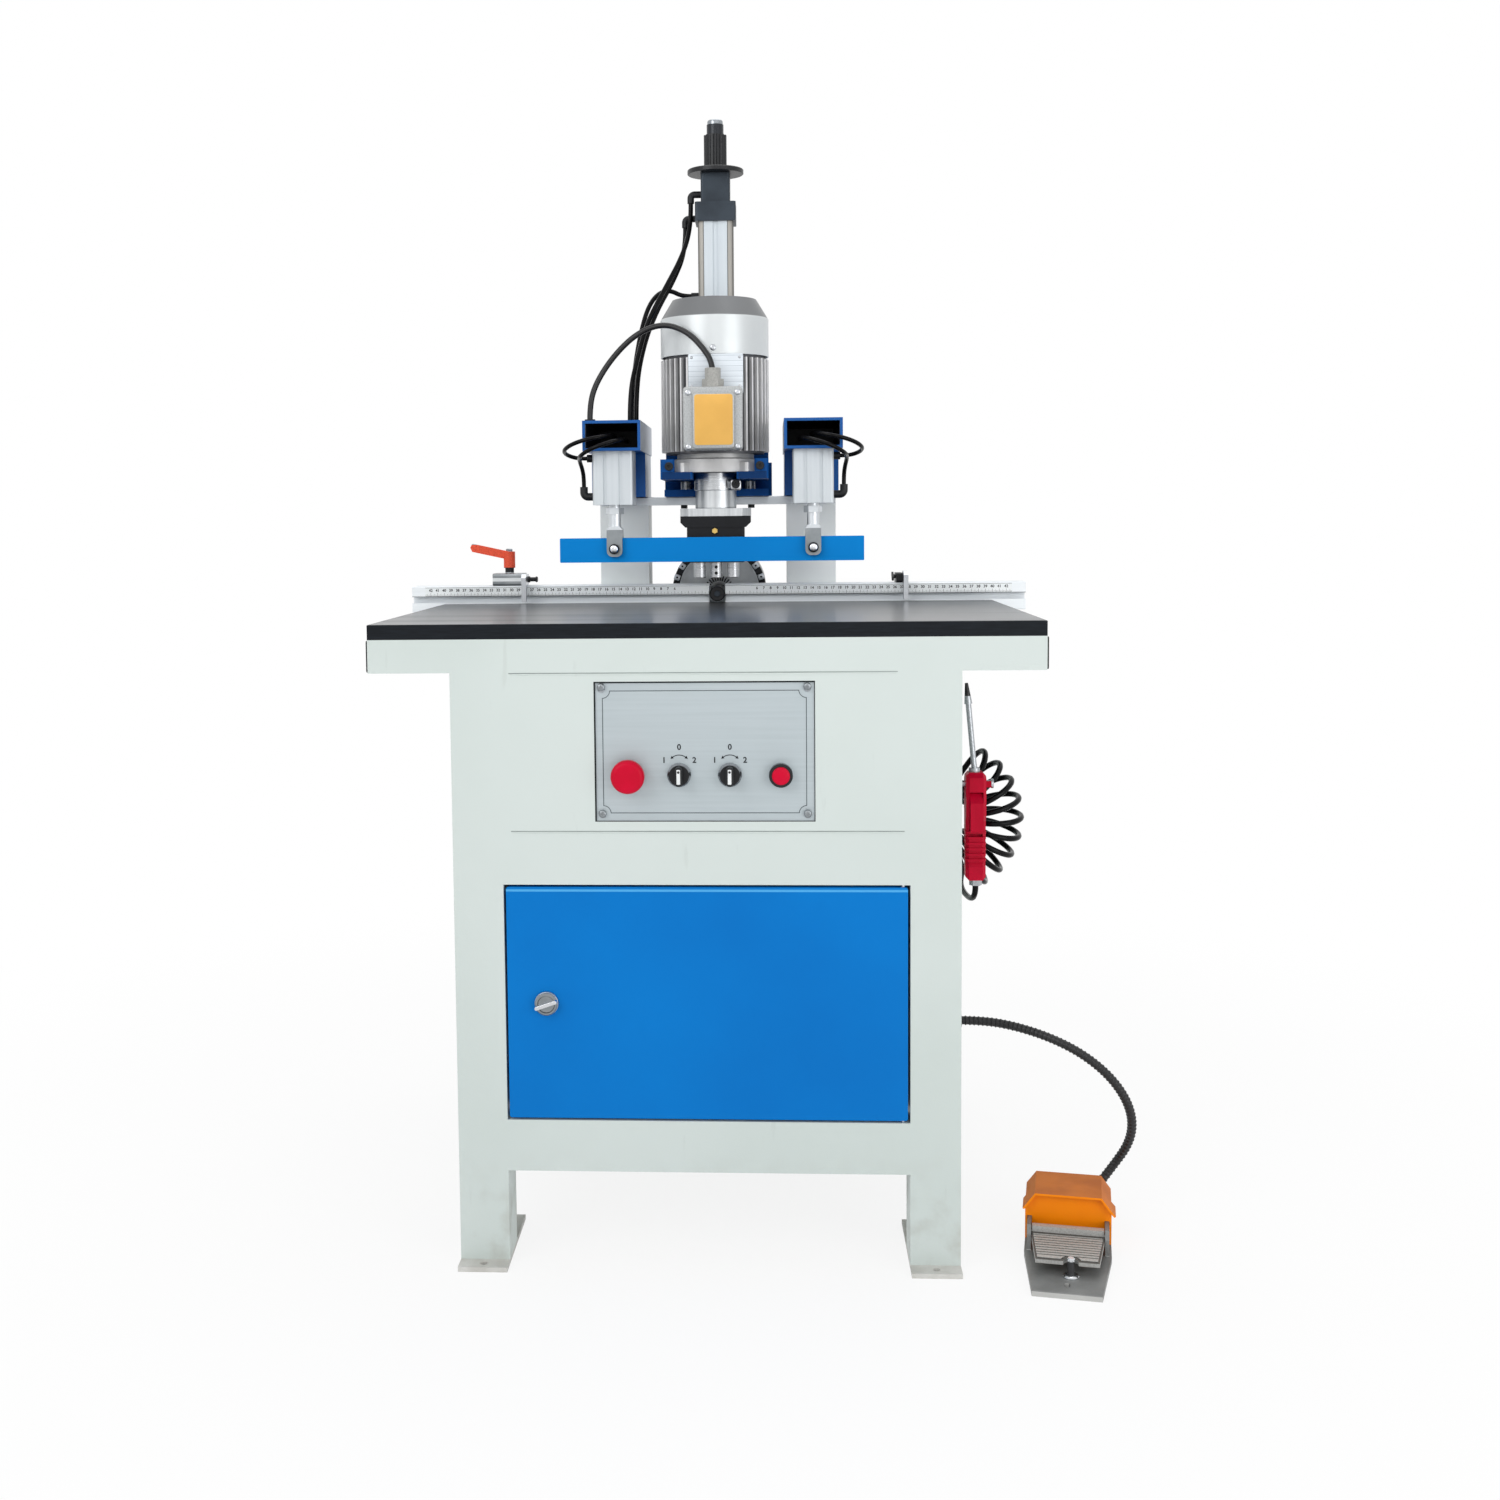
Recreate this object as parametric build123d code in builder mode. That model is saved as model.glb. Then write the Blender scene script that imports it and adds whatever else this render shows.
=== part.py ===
"""Wood drilling machine with a vertical three-spindle head and a horizontal head behind a fence.

Millimetres, +X to the operator's right, +Y to the back, +Z up.
The origin is the middle of the floor anchor holes, on the floor.
"""
import math
import os

from build123d import *

os.makedirs("parts", exist_ok=True)

# Fits and gaps
run_gap = 0.3
shaft_gap = 0.05
seat_gap = 0.02

# Base
table_height = 780
table_width = 800
table_depth = 500
table_thickness = 18
apron_height = 40
apron_tube = 40
body_width = 604
body_depth = 700
leg_width = 60
tube_wall = 3
rail_depth = 40
bottom_rail_z = 117
bottom_rail_height = 63
door_opening_height = 288
middle_rail_height = 65
side_rail_height = 100
rear_rail_z = 604
rear_rail_height = 60
foot_thickness = 6
foot_length = 160
foot_reach = 24
anchor_hole = 9
sheet = 2
deck_thickness = 8
deck_tube = 40
deck_length = 255

# Door and switch plate
door_gap = 3
door_fold = 18
hinge_inset = 8.5
hinge_depth = 6
hinge_pin = 5
lock_x = -192
lock_rosette = 29
switch_cut_width = 261
switch_cut_height = 167
switch_cut_z = 627.5
switch_lap = 6
switch_pitch = 60
switch_z = 600
switch_hole = 22
bezel_diameter = 28
knob_stem = 16
mushroom = 40
screw_x = 121.5
screw_z = 75

# Upper works
unit_x = 2
spindle_y = 125
pillar_width = 72
pillar_pitch = 277
pillar_y = 236
pillar_wall = 4
bridge_z = 922
bridge_thickness = 12
riser_height = 63
riser_width = 78
riser_front = 150
arm_width = 81
arm_height = 42
arm_wall = 4
arm_front = 35
arm_pitch = 280

# Clamp
clamp_y = 78
clamp_body = 57
clamp_body_height = 75
clamp_bore = 40
clamp_rod = 16
clamp_end_wall = 7
clamp_piston = 10
fork_width = 22
fork_height = 43
fork_pin = 8
bar_length = 430
bar_height = 34.5
bar_thickness = 10
bar_bottom = 841
bar_shift = -3.5

# Feed
feed_y = 238
guide_rod = 16
guide_pitch = 96
shelf_z = 957
shelf_thickness = 10
carriage_width = 152
carriage_height = 133
ear_width = 20
ear_depth = 8
ear_height = 18
bush_block_height = 103
bush_block_depth = 40
back_plate = 12
guide_plate = 10
top_plate_z = 1190
top_plate_thickness = 12
barrel_width = 52
barrel_bore = 44
barrel_length = 116
lower_cap_height = 20
upper_cap_height = 28
upper_cap_width = 60
stop_block_width = 43
stop_block_height = 43
feed_piston = 22
feed_rod_diameter = 16
wheel_diameter = 83
wheel_thickness = 7
sleeve_diameter = 34
sleeve_height = 50
top_nut = 25
top_nut_height = 15

# Vertical motor and head
motor_diameter = 154
fin_depth = 7
fin_count = 44
fin_thickness = 2.6
flange_diameter = 124
flange_height = 26
flange_neck = 110
housing_height = 138
cowl_height = 80
cowl_top = 120
cowl_bevel = 28
rotor_diameter = 86
motor_shaft = 20
bearing_outer = 47
rear_bearing = 40
quill_diameter = 59
quill_height = 41
clamp_ring_height = 14
head_flange_width = 101
head_flange_height = 11
head_depth = 62
cover_height = 16
gear_case_width = 82
gear_case_height = 50
spindle_pitch = 24
spindle_shaft = 12
chuck_diameter = 18
chuck_height = 22.5
bit_shank = 10
bit_depth = 18
gear_teeth = 16
gear_width = 16
pressure_angle = 20
backlash = 0.4

# Fence and stops
fence_length = 896
fence_size = 40
fence_top = 806
fence_gap = 24
rule_height = 13
rule_inset = 20
rule_thickness = 0.6
slot_mouth = 9
slot_room = 14

# Horizontal unit
slide_z = 792
slide_motor_diameter = 143
slide_motor_front = 265
slide_motor_length = 215
slide_rod = 16
slide_pitch = 140
slide_rod_z = 690
nose_diameter = 21
nose_front = 153

# Air gun, pedal and cords
gun_stand_off = 32
gun_x = body_width / 2 + gun_stand_off
gun_y = -206
gun_width = 25
gun_bottom = 446
gun_top = 582
coil_turns = 9
coil_tube = 7.5
coil_radius = 34
coil_fan_radius = 66
coil_from = -68
coil_to = 62
pedal_turn = 10
pedal_front = (415.5, -423)
pedal_length = 215
hose_diameter = 7
small_hose = 6
cable_diameter = 8
conduit_diameter = 12
conduit_bore = 8
conduit_ribs = 72

# Worked out from the sizes above
front_y = -body_depth / 2
rear_y = body_depth / 2
apron_top = table_height - table_thickness
apron_bottom = apron_top - apron_height
table_rear = front_y + table_depth
half_opening = body_width / 2 - leg_width
leg_x = body_width / 2 - leg_width / 2
leg_y = body_depth / 2 - leg_width / 2
door_bottom = bottom_rail_z + bottom_rail_height
door_top = door_bottom + door_opening_height
panel_bottom = door_top + middle_rail_height
deck_bottom = rear_rail_z + rear_rail_height
deck_top = deck_bottom + deck_thickness
deck_front = table_rear + 15


def level(z):
    """Horizontal plane at a height."""
    return Plane.XY.offset(z)


def front(y):
    """Upright plane that faces the operator, X across and Z up."""
    return Plane.XZ.offset(-y)


def side(x):
    """Upright plane that faces right, Y across and Z up."""
    return Plane.YZ.offset(x)


def facing(x, y, z):
    """Upright plane that faces the operator, its origin at a point."""
    return Plane(origin=(x, y, z), x_dir=(1, 0, 0), z_dir=(0, -1, 0))


def along_x(x, y, z):
    return Plane(origin=(x, y, z), x_dir=(0, 1, 0), z_dir=(1, 0, 0))


def along_y(x, y, z):
    return Plane(origin=(x, y, z), x_dir=(-1, 0, 0), z_dir=(0, 1, 0))


def tube(start, width, height, length, wall=tube_wall):
    """Rectangular tube from a plane along the plane's normal."""
    with BuildPart() as piece:
        with BuildSketch(start):
            Rectangle(width, height)
            Rectangle(width - 2 * wall, height - 2 * wall, mode=Mode.SUBTRACT)
        extrude(amount=length)
    return piece.part


def bar(start, diameter, length, bore=0):
    """Round bar or ring from a plane along the plane's normal."""
    with BuildPart() as piece:
        with BuildSketch(start):
            Circle(diameter / 2)
            if bore:
                Circle(bore / 2, mode=Mode.SUBTRACT)
        extrude(amount=length)
    return piece.part


def block(start, width, height, length, bore=0):
    """Rectangular block from a plane along the plane's normal, with a bore on its centre line."""
    with BuildPart() as piece:
        with BuildSketch(start):
            Rectangle(width, height)
            if bore:
                Circle(bore / 2, mode=Mode.SUBTRACT)
        extrude(amount=length)
    return piece.part


def elbow(points, diameter, bend):
    """Push-in elbow, a short bent barrel."""
    with BuildPart() as piece:
        with BuildLine() as route:
            FilletPolyline(*points, radius=bend)
        with BuildSketch(Plane(origin=route.line @ 0, z_dir=route.line % 0)):
            Circle(diameter / 2)
        sweep()
    return piece.part


def cord(name, points, diameter):
    """Round cord through the points, every corner with the largest arc that its two runs allow."""
    spots = [Vector(*p) for p in points]
    runs = [b - a for a, b in zip(spots, spots[1:])]
    radii = []
    for before, after in zip(runs, runs[1:]):
        turn = math.radians(before.get_angle(after))
        radii.append(0.45 * min(before.length, after.length) / math.tan(turn / 2))
    with BuildPart() as piece:
        with BuildLine() as route:
            FilletPolyline(*spots, radius=radii)
        with BuildSketch(Plane(origin=spots[0], z_dir=runs[0])):
            Circle(diameter / 2)
        sweep()
    length = route.wires()[0].length
    expected = math.pi * diameter**2 / 4 * length
    print(
        f"{name}: length {length:.0f}, least radius {min(radii) / diameter:.1f} diameters,",
        f"volume {piece.part.volume / expected:.3f} of section times length",
    )
    return piece.part


# Welded base
frame = []
for x in (-leg_x, leg_x):
    for y in (-leg_y, leg_y):
        frame.append(tube(Plane((x, y, foot_thickness)), leg_width, leg_width, apron_bottom - foot_thickness))
for y in (front_y + rail_depth / 2, rear_y - rail_depth / 2):
    start = along_x(-half_opening, y, bottom_rail_z + bottom_rail_height / 2)
    frame.append(tube(start, rail_depth, bottom_rail_height, 2 * half_opening))
start = along_x(-half_opening, front_y + rail_depth / 2, door_top + middle_rail_height / 2)
frame.append(tube(start, rail_depth, middle_rail_height, 2 * half_opening))
start = along_x(-half_opening, rear_y - rail_depth / 2, rear_rail_z + rear_rail_height / 2)
frame.append(tube(start, rail_depth, rear_rail_height, 2 * half_opening))
side_run = body_depth - 2 * leg_width
for x in (-body_width / 2 + rail_depth / 2, body_width / 2 - rail_depth / 2):
    start = along_y(x, -side_run / 2, bottom_rail_z + bottom_rail_height / 2)
    frame.append(tube(start, rail_depth, bottom_rail_height, side_run))
    start = along_y(x, -side_run / 2, apron_bottom - side_rail_height / 2)
    frame.append(tube(start, rail_depth, side_rail_height, side_run))
deck_span = body_width - 2 * rail_depth
start = along_x(-deck_span / 2, deck_front + deck_tube / 2, deck_bottom - deck_tube / 2)
frame.append(tube(start, deck_tube, deck_tube, deck_span))
start = Plane((0, deck_front + deck_length / 2, deck_bottom))
frame.append(block(start, 2 * half_opening - 4, deck_length, deck_thickness))
frame_tubes = Compound(label="frame_tubes", children=frame)
export_step(frame_tubes, "parts/frame_tubes.step")

foot_y = body_depth / 2 + foot_reach - foot_length / 2
anchor_y = body_depth / 2 + foot_reach / 2
with BuildPart() as foot_plates:
    with BuildSketch(level(0)):
        with GridLocations(2 * leg_x, 2 * foot_y, 2, 2):
            Rectangle(leg_width, foot_length)
        with GridLocations(2 * leg_x, 2 * anchor_y, 2, 2):
            Circle(anchor_hole / 2, mode=Mode.SUBTRACT)
    extrude(amount=foot_thickness)
foot_plates.part.label = "foot_plates"
export_step(foot_plates.part, "parts/foot_plates.step")

ring = []
apron_mid = apron_bottom + apron_height / 2
for y in (front_y + apron_tube / 2, table_rear - apron_tube / 2):
    ring.append(tube(along_x(-table_width / 2, y, apron_mid), apron_tube, apron_height, table_width))
for x in (-table_width / 2 + apron_tube / 2, table_width / 2 - apron_tube / 2):
    start = along_y(x, front_y + apron_tube, apron_mid)
    ring.append(tube(start, apron_tube, apron_height, table_depth - 2 * apron_tube))
table_ring = Compound(label="table_ring", children=ring)
export_step(table_ring, "parts/table_ring.step")

with BuildPart() as table_top:
    with BuildSketch(level(apron_top)):
        with Locations((0, front_y + table_depth / 2)):
            Rectangle(table_width, table_depth)
    extrude(amount=table_thickness)
    chamfer(table_top.edges().group_by(Axis.Z)[-1], 0.8)
table_top.part.label = "table_top"
export_step(table_top.part, "parts/table_top.step")

# Sheet panels. The right side has the hole of the conduit gland.
gland_y = -200
gland_z = 262
gland_hole = 18
with BuildPart() as front_panel:
    with BuildSketch(front(front_y + sheet)):
        with Locations((0, (panel_bottom + apron_bottom) / 2)):
            Rectangle(2 * half_opening, apron_bottom - panel_bottom)
        with Locations((0, switch_cut_z)):
            Rectangle(switch_cut_width, switch_cut_height, mode=Mode.SUBTRACT)
    extrude(amount=sheet)
side_height = apron_bottom - side_rail_height - door_bottom
panels = [front_panel.part]
for x in (-body_width / 2, body_width / 2 - sheet):
    with BuildPart() as side_panel:
        with BuildSketch(side(x)):
            with Locations((0, door_bottom + side_height / 2)):
                Rectangle(side_run, side_height)
            if x > 0:
                with Locations((gland_y, gland_z)):
                    Circle(gland_hole / 2, mode=Mode.SUBTRACT)
        extrude(amount=sheet)
    panels.append(side_panel.part)
back_height = rear_rail_z - door_bottom
start = facing(0, rear_y, door_bottom + back_height / 2)
panels.append(block(start, 2 * half_opening, back_height, sheet))
panels.append(block(level(door_bottom), body_width - 2 * rail_depth + 36, side_run - 4, sheet))
cabinet_panels = Compound(label="cabinet_panels", children=panels)
export_step(cabinet_panels, "parts/cabinet_panels.step")

# Door tray on two pins, with a quarter-turn lock
hinge_x = half_opening - hinge_inset
hinge_y = front_y + hinge_depth
door_half = half_opening - door_gap
door_low = door_bottom + door_gap
door_high = door_top - door_gap
door_mid = (door_low + door_high) / 2
lock_barrel = 20
with BuildPart() as door:
    with BuildSketch(front(front_y)):
        with Locations((0, door_mid)):
            Rectangle(2 * door_half, door_high - door_low)
    extrude(amount=-door_fold)
    fillet(door.edges().filter_by(Axis.Y), 3)
    with BuildSketch(front(front_y + sheet)):
        with Locations((0, door_mid)):
            Rectangle(2 * (door_half - sheet), door_high - door_low - 2 * sheet)
    extrude(amount=-door_fold, mode=Mode.SUBTRACT)
    with BuildSketch(front(front_y)):
        with Locations((lock_x, door_mid)):
            Circle(lock_barrel / 2 + run_gap)
    extrude(amount=-sheet, mode=Mode.SUBTRACT)
    with BuildSketch(level(door_low)):
        with Locations((hinge_x, hinge_y)):
            Circle(hinge_pin / 2 + run_gap)
    extrude(amount=door_high - door_low, mode=Mode.SUBTRACT)
door.part.label = "door"
export_step(door.part, "parts/door.step")

lock_tongue = 32
with BuildPart() as door_lock:
    with BuildSketch(front(front_y - run_gap)):
        with Locations((lock_x, door_mid)):
            Circle(lock_rosette / 2)
    extrude(amount=4)
    fillet(door_lock.edges().group_by(Axis.Y)[0], 1.5)
    with BuildSketch(front(front_y - run_gap)):
        with Locations((lock_x, door_mid)):
            Circle(lock_barrel / 2)
    extrude(amount=-(door_fold + 4))
    with BuildSketch(front(front_y + door_fold + 1)):
        with Locations((lock_x - lock_tongue / 2 + 7, door_mid)):
            Rectangle(lock_tongue, 14)
    extrude(amount=-3)
    with BuildSketch(front(front_y - run_gap - 4)):
        with Locations((lock_x, door_mid)):
            RegularPolygon(5, 3)
    extrude(amount=-3, mode=Mode.SUBTRACT)
door_lock.part.label = "door_lock"
export_step(door_lock.part, "parts/door_lock.step")

# Switch plate behind the front panel
plate_front = front_y + sheet
plate_back = plate_front + sheet
switch_xs = [-1.5 * switch_pitch, -0.5 * switch_pitch, 0.5 * switch_pitch, 1.5 * switch_pitch]
switch_spots = [(x, switch_z) for x in switch_xs]
with BuildPart() as control_plate:
    with BuildSketch(front(plate_back)):
        with Locations((0, switch_cut_z)):
            Rectangle(switch_cut_width + 2 * switch_lap, switch_cut_height + 2 * switch_lap)
        with Locations(*switch_spots):
            Circle(switch_hole / 2, mode=Mode.SUBTRACT)
    extrude(amount=sheet)
control_plate.part.label = "control_plate"
export_step(control_plate.part, "parts/control_plate.step")

bezel_height = 8
with BuildPart() as switch_bezels:
    with BuildSketch(front(plate_front)):
        with Locations(*switch_spots):
            Circle(bezel_diameter / 2)
            Circle(knob_stem / 2 + run_gap, mode=Mode.SUBTRACT)
    extrude(amount=bezel_height)
    rims = switch_bezels.edges().group_by(Axis.Y)[0]
    chamfer(rims.filter_by(lambda rim: rim.radius > knob_stem / 2 + 1), 2)
switch_bezels.part.label = "switch_bezels"
export_step(switch_bezels.part, "parts/switch_bezels.step")

estop_travel = 5
bezel_front = plate_front - bezel_height
estop_back = bezel_front - estop_travel - run_gap
with BuildPart() as estop_button:
    with BuildSketch(front(estop_back)):
        with Locations((switch_xs[0], switch_z)):
            Circle(mushroom / 2)
    extrude(amount=13)
    fillet(estop_button.edges().group_by(Axis.Y)[0], 6)
    fillet(estop_button.edges().group_by(Axis.Y)[-1], 2)
    with BuildSketch(front(estop_back)):
        with Locations((switch_xs[0], switch_z)):
            Circle(knob_stem / 2)
    extrude(amount=-(plate_front - estop_back))
estop_button.part.label = "estop_button"
export_step(estop_button.part, "parts/estop_button.step")

knob_disc = 24
knob_bar = 9
knob_reach = 12
for name, x in (("selector_vertical", switch_xs[1]), ("selector_horizontal", switch_xs[2])):
    with BuildPart() as selector:
        with BuildSketch(front(bezel_front - run_gap)):
            with Locations((x, switch_z)):
                Circle(knob_disc / 2)
        extrude(amount=3)
        with BuildSketch(front(bezel_front - run_gap - 3)):
            with Locations((x, switch_z)):
                SlotOverall(knob_disc - 1, knob_bar, rotation=90)
        extrude(amount=knob_reach)
        fillet(selector.edges().group_by(Axis.Y)[0], 1.5)
        with BuildSketch(front(bezel_front - run_gap)):
            with Locations((x, switch_z)):
                Circle(knob_stem / 2)
        extrude(amount=-(plate_back - bezel_front))
    selector.part.label = name
    export_step(selector.part, f"parts/{name}.step")

with BuildPart() as power_lamp:
    with BuildSketch(front(bezel_front)):
        with Locations((switch_xs[3], switch_z)):
            Circle(bezel_diameter / 2 - 3)
    extrude(amount=9)
    fillet(power_lamp.edges().group_by(Axis.Y)[0], 6)
    with BuildSketch(front(bezel_front)):
        with Locations((switch_xs[3], switch_z)):
            Circle(knob_stem / 2)
    extrude(amount=-(plate_back - bezel_front))
power_lamp.part.label = "power_lamp"
export_step(power_lamp.part, "parts/power_lamp.step")

# Screws, hinge pins and the peg that carries the air gun
peg_y = gun_y + 6
peg_z = gun_top - 16
peg_diameter = 8
peg_plate = 3
peg_end = gun_x + gun_width / 2 + 8
panel_x = body_width / 2
hardware = []
for x in (-screw_x, screw_x):
    for z in (switch_cut_z - screw_z, switch_cut_z + screw_z):
        with BuildPart() as screw:
            with BuildSketch(facing(x, plate_front, z)):
                Circle(4.5)
            extrude(amount=2.6)
            fillet(screw.edges().group_by(Axis.Y)[0], 2)
        hardware.append(screw.part)
pin_reach = 10
hardware.append(bar(Plane((hinge_x, hinge_y, door_bottom)), hinge_pin, pin_reach))
hardware.append(bar(Plane((hinge_x, hinge_y, door_top - pin_reach)), hinge_pin, pin_reach))
with BuildPart() as gun_hook:
    with BuildSketch(side(panel_x)):
        with Locations((peg_y, peg_z)):
            RectangleRounded(36, 50, 5)
    extrude(amount=peg_plate)
    with BuildSketch(side(panel_x + peg_plate)):
        with Locations((peg_y, peg_z)):
            Circle(peg_diameter / 2)
    extrude(amount=peg_end - panel_x - peg_plate)
    with BuildSketch(side(peg_end)):
        with Locations((peg_y, peg_z)):
            Circle(peg_diameter / 2 + 2)
    extrude(amount=3)
hardware.append(gun_hook.part)
plated_hardware = Compound(label="plated_hardware", children=hardware)
export_step(plated_hardware, "parts/plated_hardware.step")

# Electrical and air gear inside the cabinet
board_width = 380
board_low = 215
board_high = 575
stand_off = 16
board_face = rear_y - sheet - stand_off - sheet
board_mid = (board_low + board_high) / 2
plate_pieces = [block(facing(0, board_face + sheet, board_mid), board_width, board_high - board_low, sheet)]
for x in (-board_width / 2 + 20, board_width / 2 - 20):
    for z in (board_low + 20, board_high - 20):
        plate_pieces.append(bar(facing(x, rear_y - sheet, z), 12, stand_off))
mounting_plate = Compound(label="mounting_plate", children=plate_pieces)
export_step(mounting_plate, "parts/mounting_plate.step")

contact_width = 28
contact_height = 42
contact_depth = 36
collar = 6
electric = []
for x in switch_xs:
    contact_ring = facing(x, plate_back + collar, switch_z)
    electric.append(bar(contact_ring, contact_width, collar, knob_stem + 2 * run_gap))
    electric.append(block(facing(x, plate_back + collar + contact_depth, switch_z), contact_width,
                          contact_height, contact_depth))
for x in (-120, -70, -20):
    with BuildPart() as contactor:
        with BuildSketch(facing(x, board_face, board_high - 90)):
            Rectangle(45, 80)
        extrude(amount=50)
        with BuildSketch(facing(x, board_face - 50, board_high - 90)):
            Rectangle(45, 46)
        extrude(amount=22)
    electric.append(contactor.part)
with BuildPart() as transformer:
    with BuildSketch(facing(110, board_face, board_high - 90)):
        Rectangle(86, 74)
    extrude(amount=58)
    with BuildSketch(facing(110, board_face - 58, board_high - 90)):
        Rectangle(52, 60)
    extrude(amount=14)
electric.append(transformer.part)
electric.append(block(facing(0, board_face, board_mid), 300, 46, 44))
electrics = Compound(label="electrics", children=electric)
export_step(electrics, "parts/electrics.step")

valve_z = board_low + 70
valve_width = 18
valves = [block(facing(0, board_face, valve_z), 160, 34, 26)]
for n in range(4):
    with BuildPart() as valve:
        with BuildSketch(facing((n - 1.5) * 36, board_face - 26, valve_z)):
            Rectangle(valve_width, 96)
        extrude(amount=30)
        with BuildSketch(facing((n - 1.5) * 36, board_face - 56, valve_z + 32)):
            Rectangle(valve_width, 26)
        extrude(amount=12)
    valves.append(valve.part)
valve_bank = Compound(label="valve_bank", children=valves)
export_step(valve_bank, "parts/valve_bank.step")

# Pillars, bridge, risers and arms
pillar_xs = [unit_x - pillar_pitch / 2, unit_x + pillar_pitch / 2]
pillar_front = pillar_y - pillar_width / 2
pillar_rear = pillar_y + pillar_width / 2
pillar_base = 8
fence_front = table_rear
fence_rear = fence_front + fence_size
pillar_pieces = []
for x in pillar_xs:
    pillar_pieces.append(block(Plane((x, pillar_y, deck_top)), 96, 104, pillar_base))
    start = Plane((x, pillar_y, deck_top + pillar_base))
    pillar_height = bridge_z - deck_top - pillar_base
    pillar_pieces.append(tube(start, pillar_width, pillar_width, pillar_height, pillar_wall))
    pillar_pieces.append(block(facing(x, pillar_front, fence_top - fence_size / 2), 60, 28,
                               pillar_front - fence_rear))
pillars = Compound(label="pillars", children=pillar_pieces)
export_step(pillars, "parts/pillars.step")

bridge_top = bridge_z + bridge_thickness
with BuildPart() as bridge_plate:
    with BuildSketch(level(bridge_z)):
        with Locations((unit_x, pillar_y)):
            Rectangle(pillar_pitch + pillar_width, pillar_width)
    extrude(amount=bridge_thickness)
    chamfer(bridge_plate.edges().group_by(Axis.Z)[-1], 1)
bridge_plate.part.label = "bridge_plate"
export_step(bridge_plate.part, "parts/bridge_plate.step")

arm_xs = [-arm_pitch / 2, arm_pitch / 2]
arm_bottom = bridge_top + riser_height
arm_top = arm_bottom + arm_height
riser_depth = pillar_rear - riser_front
brackets = []
for x in arm_xs:
    riser = tube(Plane((x, riser_front + riser_depth / 2, bridge_top)), riser_width, riser_depth,
                 riser_height, arm_wall)
    brackets.append(riser)
    start = along_y(x, arm_front, arm_bottom + arm_height / 2)
    arm = tube(start, arm_width, arm_height, pillar_rear - arm_front, arm_wall)
    rear_end = along_y(x, pillar_rear - arm_wall, arm_bottom + arm_height / 2)
    brackets.append(arm + block(rear_end, arm_width, arm_height, arm_wall))
arm_brackets = Compound(label="arm_brackets", children=brackets)
export_step(arm_brackets, "parts/arm_brackets.step")

# Clamp cylinders, clamp bar with its forks, and the small cylinder of the horizontal unit
sensor_slot = 5
sensor_slot_x = 11
slide_barrel = 34
slide_bore = 28
slide_piston_rod = 10
slide_barrel_from = 300
slide_barrel_to = 398
slide_end_wall = 8
cylinders = []
clamp_low = arm_bottom - clamp_body_height
for x in arm_xs:
    with BuildPart() as clamp_cylinder:
        with BuildSketch(level(clamp_low)):
            with Locations((x, clamp_y)):
                RectangleRounded(clamp_body, clamp_body, 4)
        extrude(amount=clamp_body_height)
        with BuildSketch(level(clamp_low + clamp_end_wall)):
            with Locations((x, clamp_y)):
                Circle(clamp_bore / 2)
        extrude(amount=clamp_body_height - 2 * clamp_end_wall, mode=Mode.SUBTRACT)
        with BuildSketch(level(clamp_low)):
            with Locations((x, clamp_y)):
                Circle(clamp_rod / 2 + shaft_gap)
        extrude(amount=clamp_end_wall, mode=Mode.SUBTRACT)
        with BuildSketch(front(clamp_y - clamp_body / 2)):
            with Locations((x, clamp_low + clamp_body_height / 2)):
                with Locations((-sensor_slot_x, 0), (sensor_slot_x, 0)):
                    Rectangle(sensor_slot, clamp_body_height)
        extrude(amount=-sensor_slot / 2, mode=Mode.SUBTRACT)
    cylinders.append(clamp_cylinder.part)
with BuildPart() as slide_cylinder:
    with BuildSketch(along_y(unit_x, slide_barrel_from, deck_top + slide_barrel / 2)):
        RectangleRounded(slide_barrel, slide_barrel, 3)
    extrude(amount=slide_barrel_to - slide_barrel_from)
    with BuildSketch(along_y(unit_x, slide_barrel_from + slide_end_wall, deck_top + slide_barrel / 2)):
        Circle(slide_bore / 2)
    extrude(amount=slide_barrel_to - slide_barrel_from - 1.5 * slide_end_wall, mode=Mode.SUBTRACT)
    with BuildSketch(along_y(unit_x, slide_barrel_from, deck_top + slide_barrel / 2)):
        Circle(slide_piston_rod / 2 + shaft_gap)
    extrude(amount=slide_end_wall, mode=Mode.SUBTRACT)
cylinders.append(slide_cylinder.part)
air_cylinders = Compound(label="air_cylinders", children=cylinders)
export_step(air_cylinders, "parts/air_cylinders.step")

bar_mid = bar_bottom + bar_height / 2
pin_z = bar_bottom + 19
with BuildPart() as press_bar:
    with BuildSketch(front(clamp_y + bar_thickness / 2)):
        with Locations((bar_shift, bar_mid)):
            RectangleRounded(bar_length, bar_height, 1.5)
        with Locations((arm_xs[0], pin_z), (arm_xs[1], pin_z)):
            Circle(fork_pin / 2 + seat_gap, mode=Mode.SUBTRACT)
    extrude(amount=bar_thickness)
press_bar.part.label = "press_bar"
export_step(press_bar.part, "parts/press_bar.step")

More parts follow.
